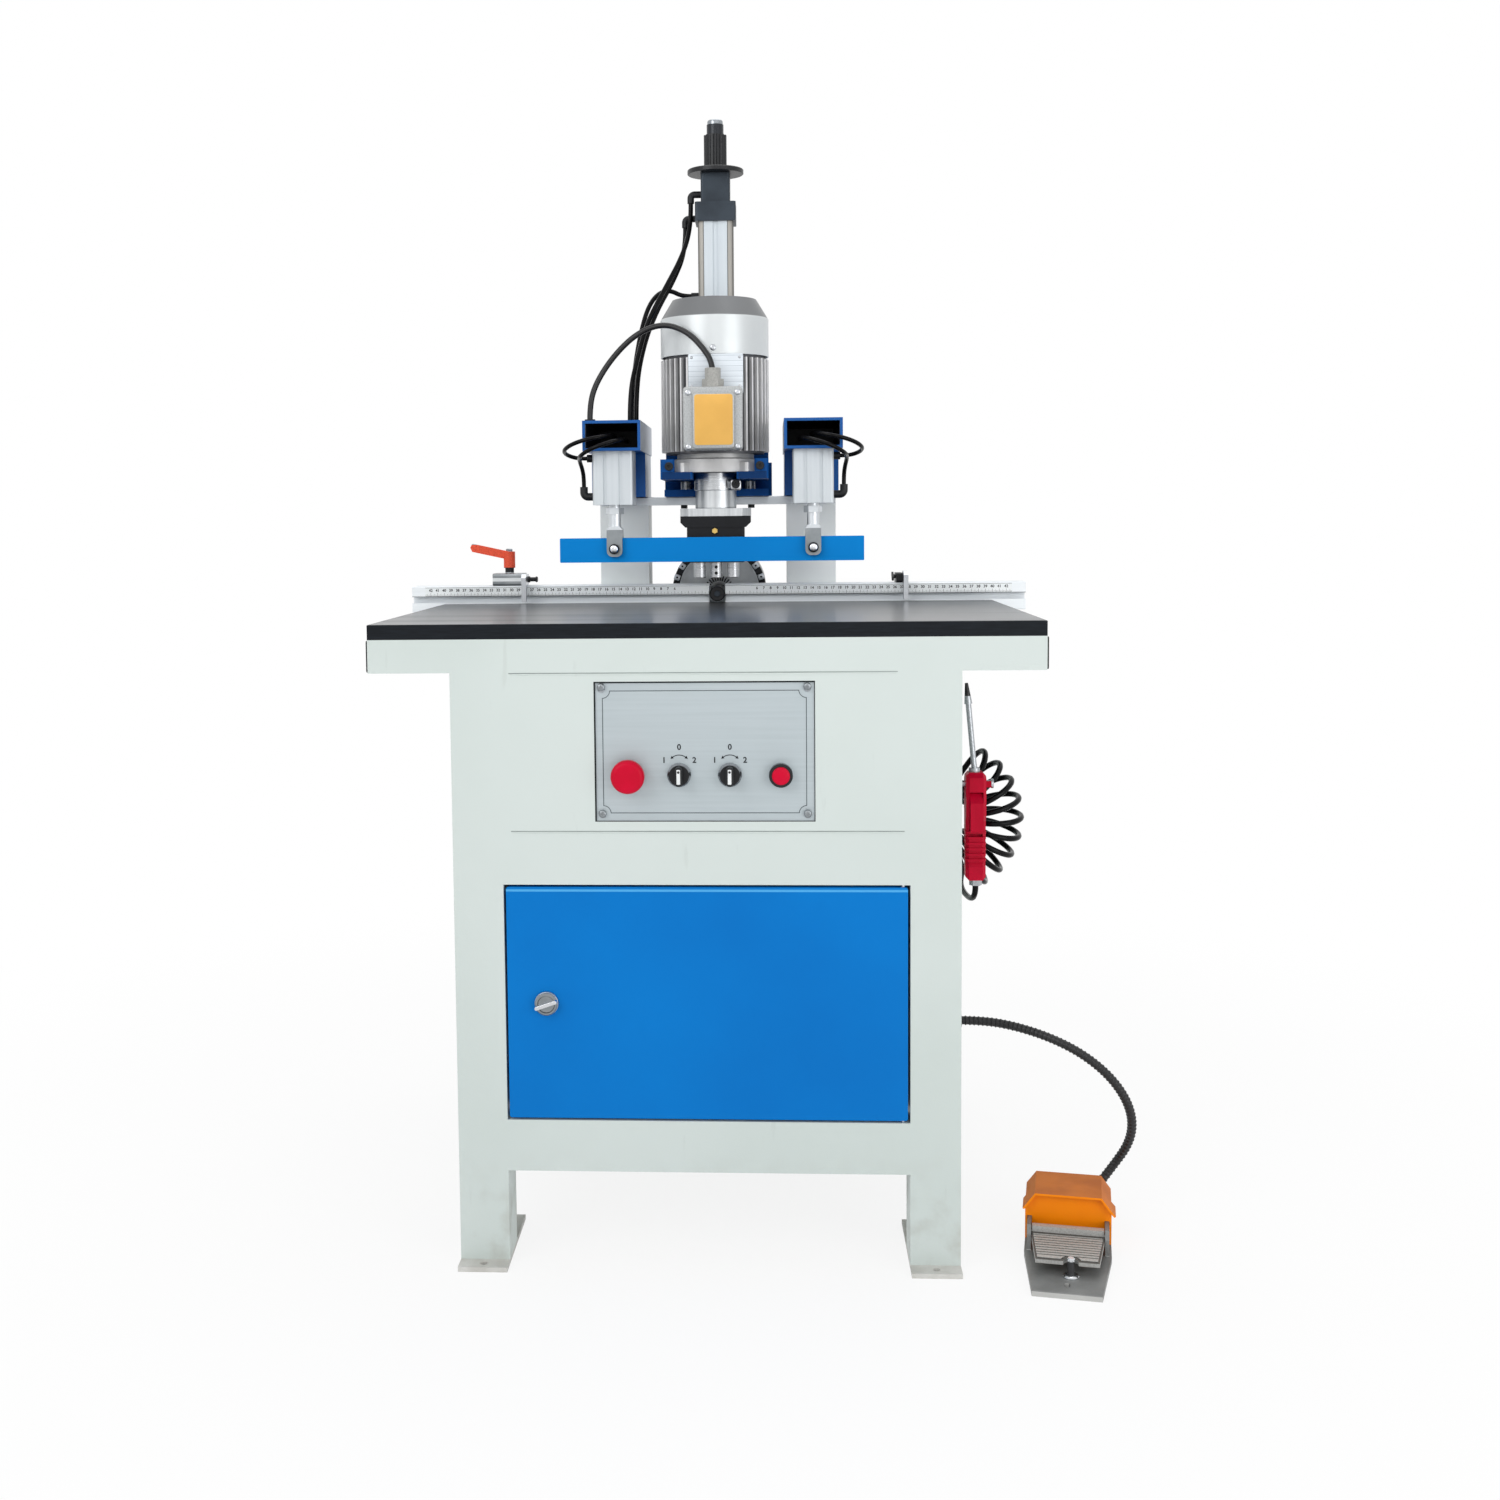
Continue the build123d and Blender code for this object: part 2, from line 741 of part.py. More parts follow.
fork_bottom = bar_bottom + 8
fork_top = fork_bottom + fork_height
fork_depth = 26
fork_round = 8
fork_shoulder = 4
fork_stem = 18
fork_stem_height = 17
lock_nut = 9
piston_low = arm_bottom - clamp_end_wall - 2 - clamp_piston
forks = []
for x in arm_xs:
    with BuildPart() as fork:
        with BuildSketch(front(clamp_y + fork_depth / 2)) as fork_face:
            with Locations((x, fork_bottom + fork_height / 2)):
                Rectangle(fork_width, fork_height)
            fillet(fork_face.vertices().group_by(Axis.Y)[0], fork_round)
            chamfer(fork_face.vertices().group_by(Axis.Y)[-1], fork_shoulder)
        extrude(amount=fork_depth)
        with BuildSketch(level(fork_bottom)):
            with Locations((x, clamp_y)):
                Rectangle(fork_width, bar_thickness + 2 * seat_gap)
        extrude(amount=bar_bottom + bar_height + 1 - fork_bottom, mode=Mode.SUBTRACT)
        with BuildSketch(facing(x, clamp_y + fork_depth / 2, pin_z)):
            Circle(fork_pin / 2 + seat_gap)
        extrude(amount=fork_depth, mode=Mode.SUBTRACT)
        with BuildSketch(level(fork_top)):
            with Locations((x, clamp_y)):
                Circle(fork_stem / 2)
        extrude(amount=fork_stem_height)
    forks.append(fork.part)
    with BuildPart() as rod:
        with BuildSketch(level(fork_top + fork_stem_height)):
            with Locations((x, clamp_y)):
                RegularPolygon(13, 6)
        extrude(amount=lock_nut)
        with BuildSketch(level(fork_top + fork_stem_height)):
            with Locations((x, clamp_y)):
                Circle(clamp_rod / 2)
        extrude(amount=piston_low - fork_top - fork_stem_height)
        with BuildSketch(level(piston_low)):
            with Locations((x, clamp_y)):
                Circle(clamp_bore / 2 - shaft_gap)
        extrude(amount=clamp_piston)
    forks.append(rod.part)
    with BuildPart() as pin:
        with BuildSketch(facing(x, clamp_y + fork_depth / 2 + 2, pin_z)):
            Circle(fork_pin / 2)
        extrude(amount=fork_depth + 4)
        with BuildSketch(facing(x, clamp_y - fork_depth / 2 - 1, pin_z)):
            Circle(fork_pin / 2 + 2)
            Circle(fork_pin / 2, mode=Mode.SUBTRACT)
        extrude(amount=1)
    forks.append(pin.part)
rods_and_forks = Compound(label="rods_and_forks", children=forks)
export_step(rods_and_forks, "parts/rods_and_forks.step")

# Feed unit: fixed plates and rods, then the carriage that slides on them
rod_xs = [unit_x - guide_pitch / 2, unit_x + guide_pitch / 2]
base_front = 158
base_rear = 275
base_top = bridge_top + guide_plate
top_front = feed_y - 32
slide_rod_xs = [unit_x - slide_pitch / 2, unit_x + slide_pitch / 2]
rod_block = 16
rod_block_width = 36
rod_block_height = 36
slide_rod_from = 221
slide_rod_to = 400
plates = []
with BuildPart() as guide_base:
    with BuildSketch(level(bridge_top)):
        with Locations((unit_x, (base_front + base_rear) / 2)):
            Rectangle(carriage_width, base_rear - base_front)
    extrude(amount=guide_plate)
plates.append(guide_base.part)
with BuildPart() as guide_top:
    with BuildSketch(level(top_plate_z)):
        with Locations((unit_x, (top_front + base_rear) / 2)):
            RectangleRounded(guide_pitch + 2 * guide_rod, base_rear - top_front, 8)
        with Locations((unit_x, feed_y)):
            Circle(feed_rod_diameter / 2 + run_gap, mode=Mode.SUBTRACT)
    extrude(amount=top_plate_thickness)
plates.append(guide_top.part)
for x in slide_rod_xs:
    for y in (slide_rod_from - rod_block, slide_rod_to):
        plates.append(block(along_y(x, y, deck_top + rod_block_height / 2), rod_block_width,
                            rod_block_height, rod_block))
guide_plates = Compound(label="guide_plates", children=plates)
export_step(guide_plates, "parts/guide_plates.step")

rods = []
for x in rod_xs:
    rods.append(bar(Plane((x, feed_y, base_top)), guide_rod, top_plate_z - base_top))
for x in slide_rod_xs:
    rods.append(bar(along_y(x, slide_rod_from, slide_rod_z), slide_rod, slide_rod_to - slide_rod_from))
guide_rods = Compound(label="guide_rods", children=rods)
export_step(guide_rods, "parts/guide_rods.step")

top_plate_top = top_plate_z + top_plate_thickness
barrel_low = top_plate_top + lower_cap_height
barrel_high = barrel_low + barrel_length
cap_top = barrel_high + upper_cap_height
block_top = cap_top + stop_block_height
rod_hole = feed_rod_diameter / 2 + run_gap
with BuildPart() as feed_barrel:
    with BuildSketch(level(barrel_low)):
        with Locations((unit_x, feed_y)):
            RectangleRounded(barrel_width, barrel_width, 7)
            Circle(barrel_bore / 2, mode=Mode.SUBTRACT)
        for turn in range(4):
            with Locations(Location((unit_x, feed_y), 90 * turn)):
                with Locations((barrel_width / 2, 0)):
                    Rectangle(5, 8, mode=Mode.SUBTRACT)
    extrude(amount=barrel_length)
feed_barrel.part.label = "feed_barrel"
export_step(feed_barrel.part, "parts/feed_barrel.step")

caps = []
for z, height, width in (
    (top_plate_top, lower_cap_height, barrel_width + 4),
    (barrel_high, upper_cap_height, upper_cap_width),
    (cap_top, stop_block_height, stop_block_width),
):
    with BuildPart() as cap:
        with BuildSketch(level(z)):
            with Locations((unit_x, feed_y)):
                RectangleRounded(width, width, 4)
                Circle(rod_hole, mode=Mode.SUBTRACT)
        extrude(amount=height)
    caps.append(cap.part)
feed_caps = Compound(label="feed_caps", children=caps)
export_step(feed_caps, "parts/feed_caps.step")

shelf_top = shelf_z + shelf_thickness
shelf_front = spindle_y - flange_diameter / 2 - 2
plate_y = feed_y - bush_block_depth / 2
bush_width = guide_pitch + 2 * guide_rod + 4
shaft_hole = motor_shaft / 2 + 3
clamp_ring = quill_diameter + 2
notch_width = clamp_ring + 1
ear_reach = (carriage_width - ear_width) / 2
ear_y = shelf_front + ear_depth / 2
with BuildPart() as feed_carriage:
    with BuildSketch(level(shelf_z)):
        with Locations((unit_x, (shelf_front + plate_y) / 2)):
            Rectangle(carriage_width, plate_y - shelf_front)
        with Locations((unit_x, (shelf_front + spindle_y) / 2)):
            Rectangle(notch_width, spindle_y - shelf_front, mode=Mode.SUBTRACT)
        with Locations((unit_x, spindle_y)):
            Circle(notch_width / 2, mode=Mode.SUBTRACT)
    extrude(amount=shelf_thickness)
    with BuildSketch(level(shelf_top)):
        with Locations((unit_x - ear_reach, ear_y), (unit_x + ear_reach, ear_y)):
            Rectangle(ear_width, ear_depth)
    extrude(amount=ear_height)
    fillet(feed_carriage.edges().filter_by(Axis.Z).group_by(Axis.Y)[0], 5)
    with BuildSketch(front(plate_y)):
        with Locations((unit_x, shelf_z + carriage_height / 2)):
            Rectangle(carriage_width, carriage_height)
    extrude(amount=back_plate)
    fillet(feed_carriage.edges().filter_by(Axis.Y).group_by(Axis.Z)[-1], 16)
    with BuildSketch(level(shelf_z)):
        with Locations((unit_x, feed_y)):
            Rectangle(bush_width, bush_block_depth)
    extrude(amount=bush_block_height)
    with BuildSketch(level(shelf_z)):
        with Locations((rod_xs[0], feed_y), (rod_xs[1], feed_y)):
            Circle(guide_rod / 2 + shaft_gap)
    extrude(amount=bush_block_height, mode=Mode.SUBTRACT)
feed_carriage.part.label = "feed_carriage"
export_step(feed_carriage.part, "parts/feed_carriage.step")

bush_top = shelf_z + bush_block_height
wheel_low = block_top + run_gap
wheel_high = wheel_low + wheel_thickness + sleeve_height
with BuildPart() as feed_rod:
    with BuildSketch(level(bush_top)):
        with Locations((unit_x, feed_y)):
            Circle(feed_rod_diameter / 2)
    extrude(amount=wheel_high + run_gap - bush_top)
    with BuildSketch(level(barrel_low + 2)):
        with Locations((unit_x, feed_y)):
            Circle(barrel_bore / 2 - shaft_gap)
    extrude(amount=feed_piston)
    with BuildSketch(level(wheel_high + run_gap)):
        with Locations((unit_x, feed_y)):
            Circle(top_nut / 2)
    extrude(amount=top_nut_height)
    with BuildSketch(level(wheel_high + run_gap + top_nut_height)):
        with Locations((unit_x, feed_y)):
            Circle(top_nut / 2 - 1)
    extrude(amount=7)
    fillet(feed_rod.edges().group_by(Axis.Z)[-1], 3)
    with BuildSketch(level(bush_top)):
        with Locations((unit_x, feed_y)):
            RegularPolygon(15, 6)
    extrude(amount=10)
feed_rod.part.label = "feed_rod"
export_step(feed_rod.part, "parts/feed_rod.step")

flute = 3
with BuildPart() as depth_wheel:
    with BuildSketch(level(wheel_low)):
        with Locations((unit_x, feed_y)):
            Circle(wheel_diameter / 2)
    extrude(amount=wheel_thickness)
    chamfer(depth_wheel.edges(), 1)
    with BuildSketch(level(wheel_low + wheel_thickness)):
        with Locations((unit_x, feed_y)):
            Circle(sleeve_diameter / 2)
            with PolarLocations(sleeve_diameter / 2 + 1, 12):
                Circle(flute, mode=Mode.SUBTRACT)
    extrude(amount=sleeve_height)
    with BuildSketch(level(wheel_low)):
        with Locations((unit_x, feed_y)):
            Circle(feed_rod_diameter / 2 + shaft_gap)
    extrude(amount=wheel_thickness + sleeve_height, mode=Mode.SUBTRACT)
depth_wheel.part.label = "depth_wheel"
export_step(depth_wheel.part, "parts/depth_wheel.step")

# Vertical motor on the shelf
flange_top = shelf_top + flange_height
housing_top = flange_top + housing_height
cowl_end = housing_top + cowl_height
bearing_width = 14
bearing_low = shelf_top + 8
end_wall = 12
fin_root = motor_diameter / 2 - fin_depth
with BuildPart() as motor_flange:
    with BuildSketch(Plane.XZ.offset(-spindle_y)):
        with BuildLine():
            Polyline(
                (unit_x + shaft_hole, shelf_top),
                (unit_x + flange_diameter / 2, shelf_top),
                (unit_x + flange_diameter / 2, shelf_top + 0.7 * flange_height),
                (unit_x + flange_neck / 2, flange_top - 6),
                (unit_x + flange_neck / 2, flange_top),
                (unit_x + rotor_diameter / 2 + 1, flange_top),
                (unit_x + rotor_diameter / 2 + 1, flange_top - 4),
                (unit_x + bearing_outer / 2 + seat_gap, flange_top - 4),
                (unit_x + bearing_outer / 2 + seat_gap, bearing_low),
                (unit_x + shaft_hole, bearing_low),
                close=True,
            )
        make_face()
    revolve(axis=Axis((unit_x, spindle_y, 0), (0, 0, 1)))
    with BuildSketch(level(shelf_top)):
        with Locations((unit_x, spindle_y)):
            with PolarLocations(flange_diameter / 2 + 3, 4, start_angle=45):
                RectangleRounded(20, 22, 5)
    extrude(amount=flange_height / 2)
motor_flange.part.label = "motor_flange"
export_step(motor_flange.part, "parts/motor_flange.step")

with BuildPart() as motor_housing:
    with BuildSketch(level(flange_top)):
        with Locations((unit_x, spindle_y)):
            Circle(fin_root)
            Circle(rotor_diameter / 2 + 1, mode=Mode.SUBTRACT)
    extrude(amount=housing_height - end_wall)
    with BuildSketch(level(housing_top - end_wall)):
        with Locations((unit_x, spindle_y)):
            Circle(fin_root)
            Circle(rear_bearing / 2 + seat_gap, mode=Mode.SUBTRACT)
    extrude(amount=end_wall)
    with BuildSketch(level(flange_top + 3)):
        with Locations((unit_x, spindle_y)):
            with PolarLocations(fin_root + fin_depth / 2 - 1, fin_count, start_angle=180 / fin_count):
                Rectangle(fin_depth + 2, fin_thickness)
    extrude(amount=housing_height - 8)
    with BuildSketch(front(spindle_y - motor_diameter / 2)):
        with Locations((unit_x, flange_top + 45)):
            RectangleRounded(76, 82, 4)
    extrude(amount=-18)
motor_housing.part.label = "motor_housing"
export_step(motor_housing.part, "parts/motor_housing.step")

cowl_wall = 2
with BuildPart() as fan_cowl:
    with BuildSketch(Plane.XZ.offset(-spindle_y)):
        with BuildLine():
            Polyline(
                (unit_x + motor_diameter / 2 - cowl_wall, housing_top - 1),
                (unit_x + motor_diameter / 2, housing_top - 1),
                (unit_x + motor_diameter / 2, cowl_end - cowl_bevel),
                (unit_x + cowl_top / 2, cowl_end),
                (unit_x, cowl_end),
                (unit_x, cowl_end - cowl_wall),
                (unit_x + cowl_top / 2 - 1, cowl_end - cowl_wall),
                (unit_x + motor_diameter / 2 - cowl_wall, cowl_end - cowl_bevel - 1),
                close=True,
            )
        make_face()
    revolve(axis=Axis((unit_x, spindle_y, 0), (0, 0, 1)))
    with BuildSketch(level(cowl_end - cowl_wall)):
        with Locations((unit_x, spindle_y)):
            with PolarLocations(38, 16):
                SlotOverall(32, 6)
    extrude(amount=cowl_wall, mode=Mode.SUBTRACT)
    with BuildSketch(level(housing_top - 1)):
        with Locations((unit_x, spindle_y)):
            with PolarLocations(fin_root + 2, 4, start_angle=45):
                Rectangle(8, 16)
            Circle(fin_root + seat_gap, mode=Mode.SUBTRACT)
    extrude(amount=6)
fan_cowl.part.label = "fan_cowl"
export_step(fan_cowl.part, "parts/fan_cowl.step")

box_width = 80
box_height = 85
box_depth = 36
box_back = spindle_y - motor_diameter / 2
gland_at = (unit_x, box_back - 20)
terminal_low = flange_top + 3
with BuildPart() as terminal_box:
    with BuildSketch(front(box_back)):
        with Locations((unit_x, terminal_low + box_height / 2)):
            RectangleRounded(box_width, box_height, 4)
    extrude(amount=box_depth - 12)
    with BuildSketch(front(box_back - box_depth + 12)):
        with Locations((unit_x, terminal_low + box_height / 2)):
            RectangleRounded(box_width + 2, box_height + 2, 5)
    extrude(amount=12)
    fillet(terminal_box.edges().group_by(Axis.Y)[0], 3)
    with BuildSketch(level(terminal_low + box_height)):
        with Locations(gland_at):
            RegularPolygon(15, 6)
    extrude(amount=12)
    with BuildSketch(level(terminal_low + box_height + 12)):
        with Locations(gland_at):
            Circle(11)
    extrude(amount=15)
    with BuildSketch(level(terminal_low + box_height + 7)):
        with Locations(gland_at):
            Circle(cable_diameter / 2 + run_gap)
    extrude(amount=20, mode=Mode.SUBTRACT)
terminal_box.part.label = "terminal_box"
export_step(terminal_box.part, "parts/terminal_box.step")

# Quill and the geared three-spindle head under the shelf
quill_low = shelf_z - quill_height
flange_low = quill_low - head_flange_height
case_high = flange_low - cover_height
case_low = case_high - gear_case_height
quill_bore = motor_shaft / 2 + 2
quill_pieces = []
for z, height, outer in (
    (quill_low, quill_height - clamp_ring_height, quill_diameter),
    (shelf_z - clamp_ring_height, clamp_ring_height + shelf_thickness, clamp_ring),
):
    with BuildPart() as sleeve:
        with BuildSketch(level(z)):
            with Locations((unit_x, spindle_y)):
                Circle(outer / 2)
                Circle(quill_bore, mode=Mode.SUBTRACT)
        extrude(amount=height)
        sleeve_rims = sleeve.edges().filter_by(GeomType.CIRCLE)
        chamfer(sleeve_rims.filter_by(lambda rim: rim.radius > quill_bore + 1), 0.8)
    quill_pieces.append(sleeve.part)
with BuildPart() as head_flange:
    with BuildSketch(level(flange_low)):
        with Locations((unit_x, spindle_y)):
            Rectangle(head_flange_width, head_depth)
            Circle(quill_bore, mode=Mode.SUBTRACT)
    extrude(amount=head_flange_height)
    chamfer(head_flange.edges().filter_by(Axis.Z).filter_by(GeomType.LINE).sort_by_distance(
        (unit_x, spindle_y, flange_low))[-4:], 12)
quill_pieces.append(head_flange.part)
shaft_room = motor_shaft + 2 * shaft_gap
lower_seat = Plane((unit_x, spindle_y, bearing_low))
quill_pieces.append(bar(lower_seat, bearing_outer, bearing_width, shaft_room))
upper_seat = Plane((unit_x, spindle_y, housing_top - end_wall))
quill_pieces.append(bar(upper_seat, rear_bearing, end_wall, shaft_room))
quill = Compound(label="quill", children=quill_pieces)
export_step(quill, "parts/quill.step")

module = spindle_pitch / gear_teeth
gear_tip = spindle_pitch / 2 + 0.8 * module
gear_root = spindle_pitch / 2 - 1.05 * module
room_height = gear_width + 8
room_low = case_high - room_height
spindle_bore = spindle_shaft / 2 + shaft_gap
spindle_spots = [(unit_x + n * spindle_pitch, spindle_y) for n in (-1, 0, 1)]
with BuildPart() as gear_case:
    with BuildSketch(level(case_low)):
        with Locations((unit_x, spindle_y)):
            RectangleRounded(gear_case_width, head_depth - 4, 3)
    extrude(amount=gear_case_height)
    with BuildSketch(level(room_low)):
        with Locations((unit_x, spindle_y)):
            SlotCenterToCenter(2 * spindle_pitch, 2 * gear_tip + 2)
    extrude(amount=room_height, mode=Mode.SUBTRACT)
    with BuildSketch(level(case_low)):
        with Locations(*spindle_spots):
            Circle(spindle_bore)
    extrude(amount=gear_case_height, mode=Mode.SUBTRACT)
with BuildPart() as case_cover:
    with BuildSketch(level(case_high)):
        with Locations((unit_x, spindle_y)):
            Rectangle(head_flange_width - 1, head_depth)
    extrude(amount=cover_height)
    chamfer(case_cover.edges().filter_by(Axis.Y).group_by(Axis.Z)[0], 7)
    with BuildSketch(level(case_high)):
        with Locations((unit_x, spindle_y)):
            Circle(quill_bore)
    extrude(amount=cover_height, mode=Mode.SUBTRACT)
    with BuildSketch(level(case_high)):
        with Locations(spindle_spots[0], spindle_spots[2]):
            Circle(spindle_bore)
    extrude(amount=6, mode=Mode.SUBTRACT)
gear_head = Compound(label="gear_head", children=[gear_case.part, case_cover.part])
export_step(gear_head, "parts/gear_head.step")


def gear_points(at, turn):
    """Outline of a gear: root, flank and tip corners of every tooth."""
    half_pitch = math.pi * module / 4 - backlash / 2
    rise = math.tan(math.radians(pressure_angle))
    corners = []
    for radius in (gear_root, gear_tip):
        half = half_pitch + (spindle_pitch / 2 - radius) * rise
        corners.append((radius, half / radius))
    outline = []
    for n in range(gear_teeth):
        middle = 2 * math.pi * n / gear_teeth + turn
        for radius, swing in ((corners[0][0], -corners[0][1]), (corners[1][0], -corners[1][1]),
                              (corners[1][0], corners[1][1]), (corners[0][0], corners[0][1])):
            angle = middle + swing
            outline.append((at[0] + radius * math.cos(angle), at[1] + radius * math.sin(angle)))
    return outline


gear_low = room_low + 4
chuck_low = case_low - run_gap - chuck_height
for name, at, turn in (
    ("side_spindle_left", spindle_spots[0], math.pi / gear_teeth),
    ("drive_spindle", spindle_spots[1], 0),
    ("side_spindle_right", spindle_spots[2], math.pi / gear_teeth),
):
    driven = name == "drive_spindle"
    with BuildPart() as spindle:
        with BuildSketch(level(chuck_low)):
            with Locations(at):
                Circle(chuck_diameter / 2)
        extrude(amount=chuck_height)
        chamfer(spindle.edges().group_by(Axis.Z)[0], 1)
        with BuildSketch(level(chuck_low)):
            with Locations(at):
                Circle(bit_shank / 2)
        extrude(amount=bit_depth, mode=Mode.SUBTRACT)
        with BuildSketch(level(chuck_low + chuck_height)):
            with Locations(at):
                Circle(spindle_shaft / 2)
        extrude(amount=case_high + 5 - chuck_low - chuck_height)
        with BuildSketch(level(gear_low)):
            with BuildLine():
                Polyline(*gear_points(at, turn), close=True)
            make_face()
        extrude(amount=gear_width)
        if driven:
            with BuildSketch(level(case_high + 3)):
                with Locations(at):
                    Circle(motor_shaft / 2)
            extrude(amount=housing_top + 40 - case_high - 3)
            with BuildSketch(level(flange_top + 12)):
                with Locations(at):
                    Circle(rotor_diameter / 2)
            extrude(amount=housing_height - end_wall - 24)
            with BuildSketch(level(housing_top + 12)):
                with Locations(at):
                    Circle(18)
                    with PolarLocations(38, 7):
                        Rectangle(48, 3)
            extrude(amount=26)
    spindle.part.label = name
    export_step(spindle.part, f"parts/{name}.step")

# Fence in two lengths, its rule and the two flip stops
fence_left = -fence_length / 2
fence_right = fence_length / 2
gap_left = unit_x - fence_gap / 2
gap_right = unit_x + fence_gap / 2
fence_mid = fence_top - fence_size / 2
fence_axis = (fence_front + fence_size / 2, fence_mid)
fences = []
strips = []
for x, length in ((fence_left, gap_left - fence_left), (gap_right, fence_right - gap_right)):
    with BuildPart() as fence:
        with BuildSketch(side(x)):
            with Locations(fence_axis):
                RectangleRounded(fence_size, fence_size, 1.5)
                Circle(3.4, mode=Mode.SUBTRACT)
            for turn in range(4):
                with Locations(Location(fence_axis, 90 * turn)):
                    with Locations((0, fence_size / 2)):
                        Rectangle(slot_mouth, 10, mode=Mode.SUBTRACT)
                    with Locations((0, fence_size / 2 - 4.5 - 3.5)):
                        Rectangle(slot_room, 7, mode=Mode.SUBTRACT)
        extrude(amount=length)
    fences.append(fence.part)
for x, length in (
    (fence_left + rule_inset, gap_left - fence_left - rule_inset),
    (gap_right, fence_right - gap_right - rule_inset),
):
    strips.append(block(facing(x + length / 2, fence_front, fence_top - 2 - rule_height / 2), length,
                        rule_height, rule_thickness))
fence_rails = Compound(label="fence_rails", children=fences)
export_step(fence_rails, "parts/fence_rails.step")
fence_rules = Compound(label="fence_rules", children=strips)
export_step(fence_rules, "parts/fence_rules.step")

stop_pivot_y = fence_front + 10
stop_pivot_z = fence_top + 9
stop_pin = 6
finger_lift = 3
finger_low = table_height + finger_lift
finger_front = fence_front - 21
finger_width = 13
nut_high = fence_top - 4.5 - run_gap
nut_height = 5
lever_x = -305.5
lever_y = fence_front + fence_size / 2
lever_stud = 8
left_from = -328
left_to = -283
right_from = 262
right_to = 271
carriage_low = fence_top + run_gap
left_high = fence_top + 18
right_high = fence_top + 14


def finger(x, thickness):
    """Flip finger: an eye on the pivot, an arm to the front and a leg down to the table."""
    with BuildPart() as piece:
        with BuildSketch(side(x)):
            with Locations((stop_pivot_y, stop_pivot_z)):
                Circle(8)
            with BuildLine():
                Polyline(
                    (stop_pivot_y, stop_pivot_z + 8),
                    (finger_front + 5, stop_pivot_z + 8),
                    (finger_front, stop_pivot_z + 3),
                    (finger_front, finger_low),
                    (finger_front + finger_width, finger_low),
                    (finger_front + finger_width, stop_pivot_z - 8),
                    (stop_pivot_y, stop_pivot_z - 8),
                    close=True,
                )
            make_face()
            with Locations((stop_pivot_y, stop_pivot_z)):
                Circle(stop_pin / 2 + shaft_gap, mode=Mode.SUBTRACT)
        extrude(amount=thickness)
    return piece.part


with BuildPart() as left_block:
    with BuildSketch(side(left_from)):
        with Locations((lever_y, (carriage_low + left_high) / 2)):
            RectangleRounded(fence_size, left_high - carriage_low, 3)
    extrude(amount=left_to - left_from)
    with BuildSketch(level(carriage_low)):
        with Locations((lever_x, lever_y)):
            Circle(lever_stud / 2 + shaft_gap)
    extrude(amount=left_high - carriage_low, mode=Mode.SUBTRACT)
    with BuildSketch(side(left_to)):
        with Locations((stop_pivot_y, stop_pivot_z)):
            Circle(stop_pin / 2)
    extrude(amount=9)
with BuildPart() as left_nut:
    with BuildSketch(level(nut_high - nut_height)):
        with Locations((lever_x, lever_y)):
            Rectangle(30, slot_room - 2 * run_gap)
            Circle(lever_stud / 2 + shaft_gap, mode=Mode.SUBTRACT)
    extrude(amount=nut_height)
stop_left = Compound(label="stop_left", children=[left_block.part, left_nut.part])
export_step(stop_left, "parts/stop_left.step")

hub_low = left_high + 8
hub_height = 24
lever_tip = (-360, 862)
with BuildPart() as clamp_lever:
    with BuildSketch(level(hub_low)):
        with Locations((lever_x, lever_y)):
            Circle(8.5)
    extrude(amount=hub_height)
    with BuildSketch(level(left_high + run_gap)):
        with Locations((lever_x, lever_y)):
            Circle(6.5)
    extrude(amount=hub_low - left_high - run_gap)
    with BuildSketch(level(nut_high - nut_height)):
        with Locations((lever_x, lever_y)):
            Circle(lever_stud / 2 - shaft_gap)
    extrude(amount=left_high + 2 - nut_high + nut_height)
    with BuildSketch(front(lever_y + 4.5)):
        with BuildLine():
            Polyline(
                (lever_x, hub_low + hub_height),
                (lever_x, hub_low + hub_height - 12),
                (lever_tip[0], lever_tip[1] - 6),
                (lever_tip[0] - 3, lever_tip[1]),
                (lever_tip[0], lever_tip[1] + 6),
                close=True,
            )
        make_face()
    extrude(amount=9)
    fillet(clamp_lever.edges().group_by(Axis.Z)[-1], 1)
clamp_lever.part.label = "clamp_lever"
export_step(clamp_lever.part, "parts/clamp_lever.step")

flip_stop_left = finger(left_to + run_gap, 6.5)
flip_stop_left.label = "flip_stop_left"
export_step(flip_stop_left, "parts/flip_stop_left.step")

with BuildPart() as right_block:
    with BuildSketch(side(right_from)):
        with Locations((lever_y, (carriage_low + right_high) / 2)):
            RectangleRounded(fence_size, right_high - carriage_low, 3)
    extrude(amount=right_to - right_from)
    with BuildSketch(side(right_to)):
        with Locations((stop_pivot_y, stop_pivot_z)):
            Circle(stop_pin / 2)
    extrude(amount=9)
    with BuildSketch(side(right_from)):
        with Locations((fence_front + 12, stop_pivot_z)):
            Circle(3)
    extrude(amount=-3)
    with BuildSketch(side(right_from - 3)):
        with Locations((fence_front + 12, stop_pivot_z)):
            SlotOverall(17, 7, rotation=35)
    extrude(amount=-3)
with BuildPart() as right_nut:
    with BuildSketch(level(nut_high - nut_height)):
        with Locations(((right_from + right_to) / 2, lever_y)):
            Rectangle(right_to - right_from, slot_room - 2 * run_gap)
    extrude(amount=nut_height)
    with BuildSketch(level(nut_high)):
        with Locations(((right_from + right_to) / 2, lever_y)):
            Circle(slot_mouth / 2 - run_gap)
    extrude(amount=carriage_low - nut_high)
stop_right = Compound(label="stop_right", children=[right_block.part, right_nut.part])
export_step(stop_right, "parts/stop_right.step")
flip_stop_right = finger(right_to + run_gap, 6.5)
flip_stop_right.label = "flip_stop_right"
export_step(flip_stop_right, "parts/flip_stop_right.step")

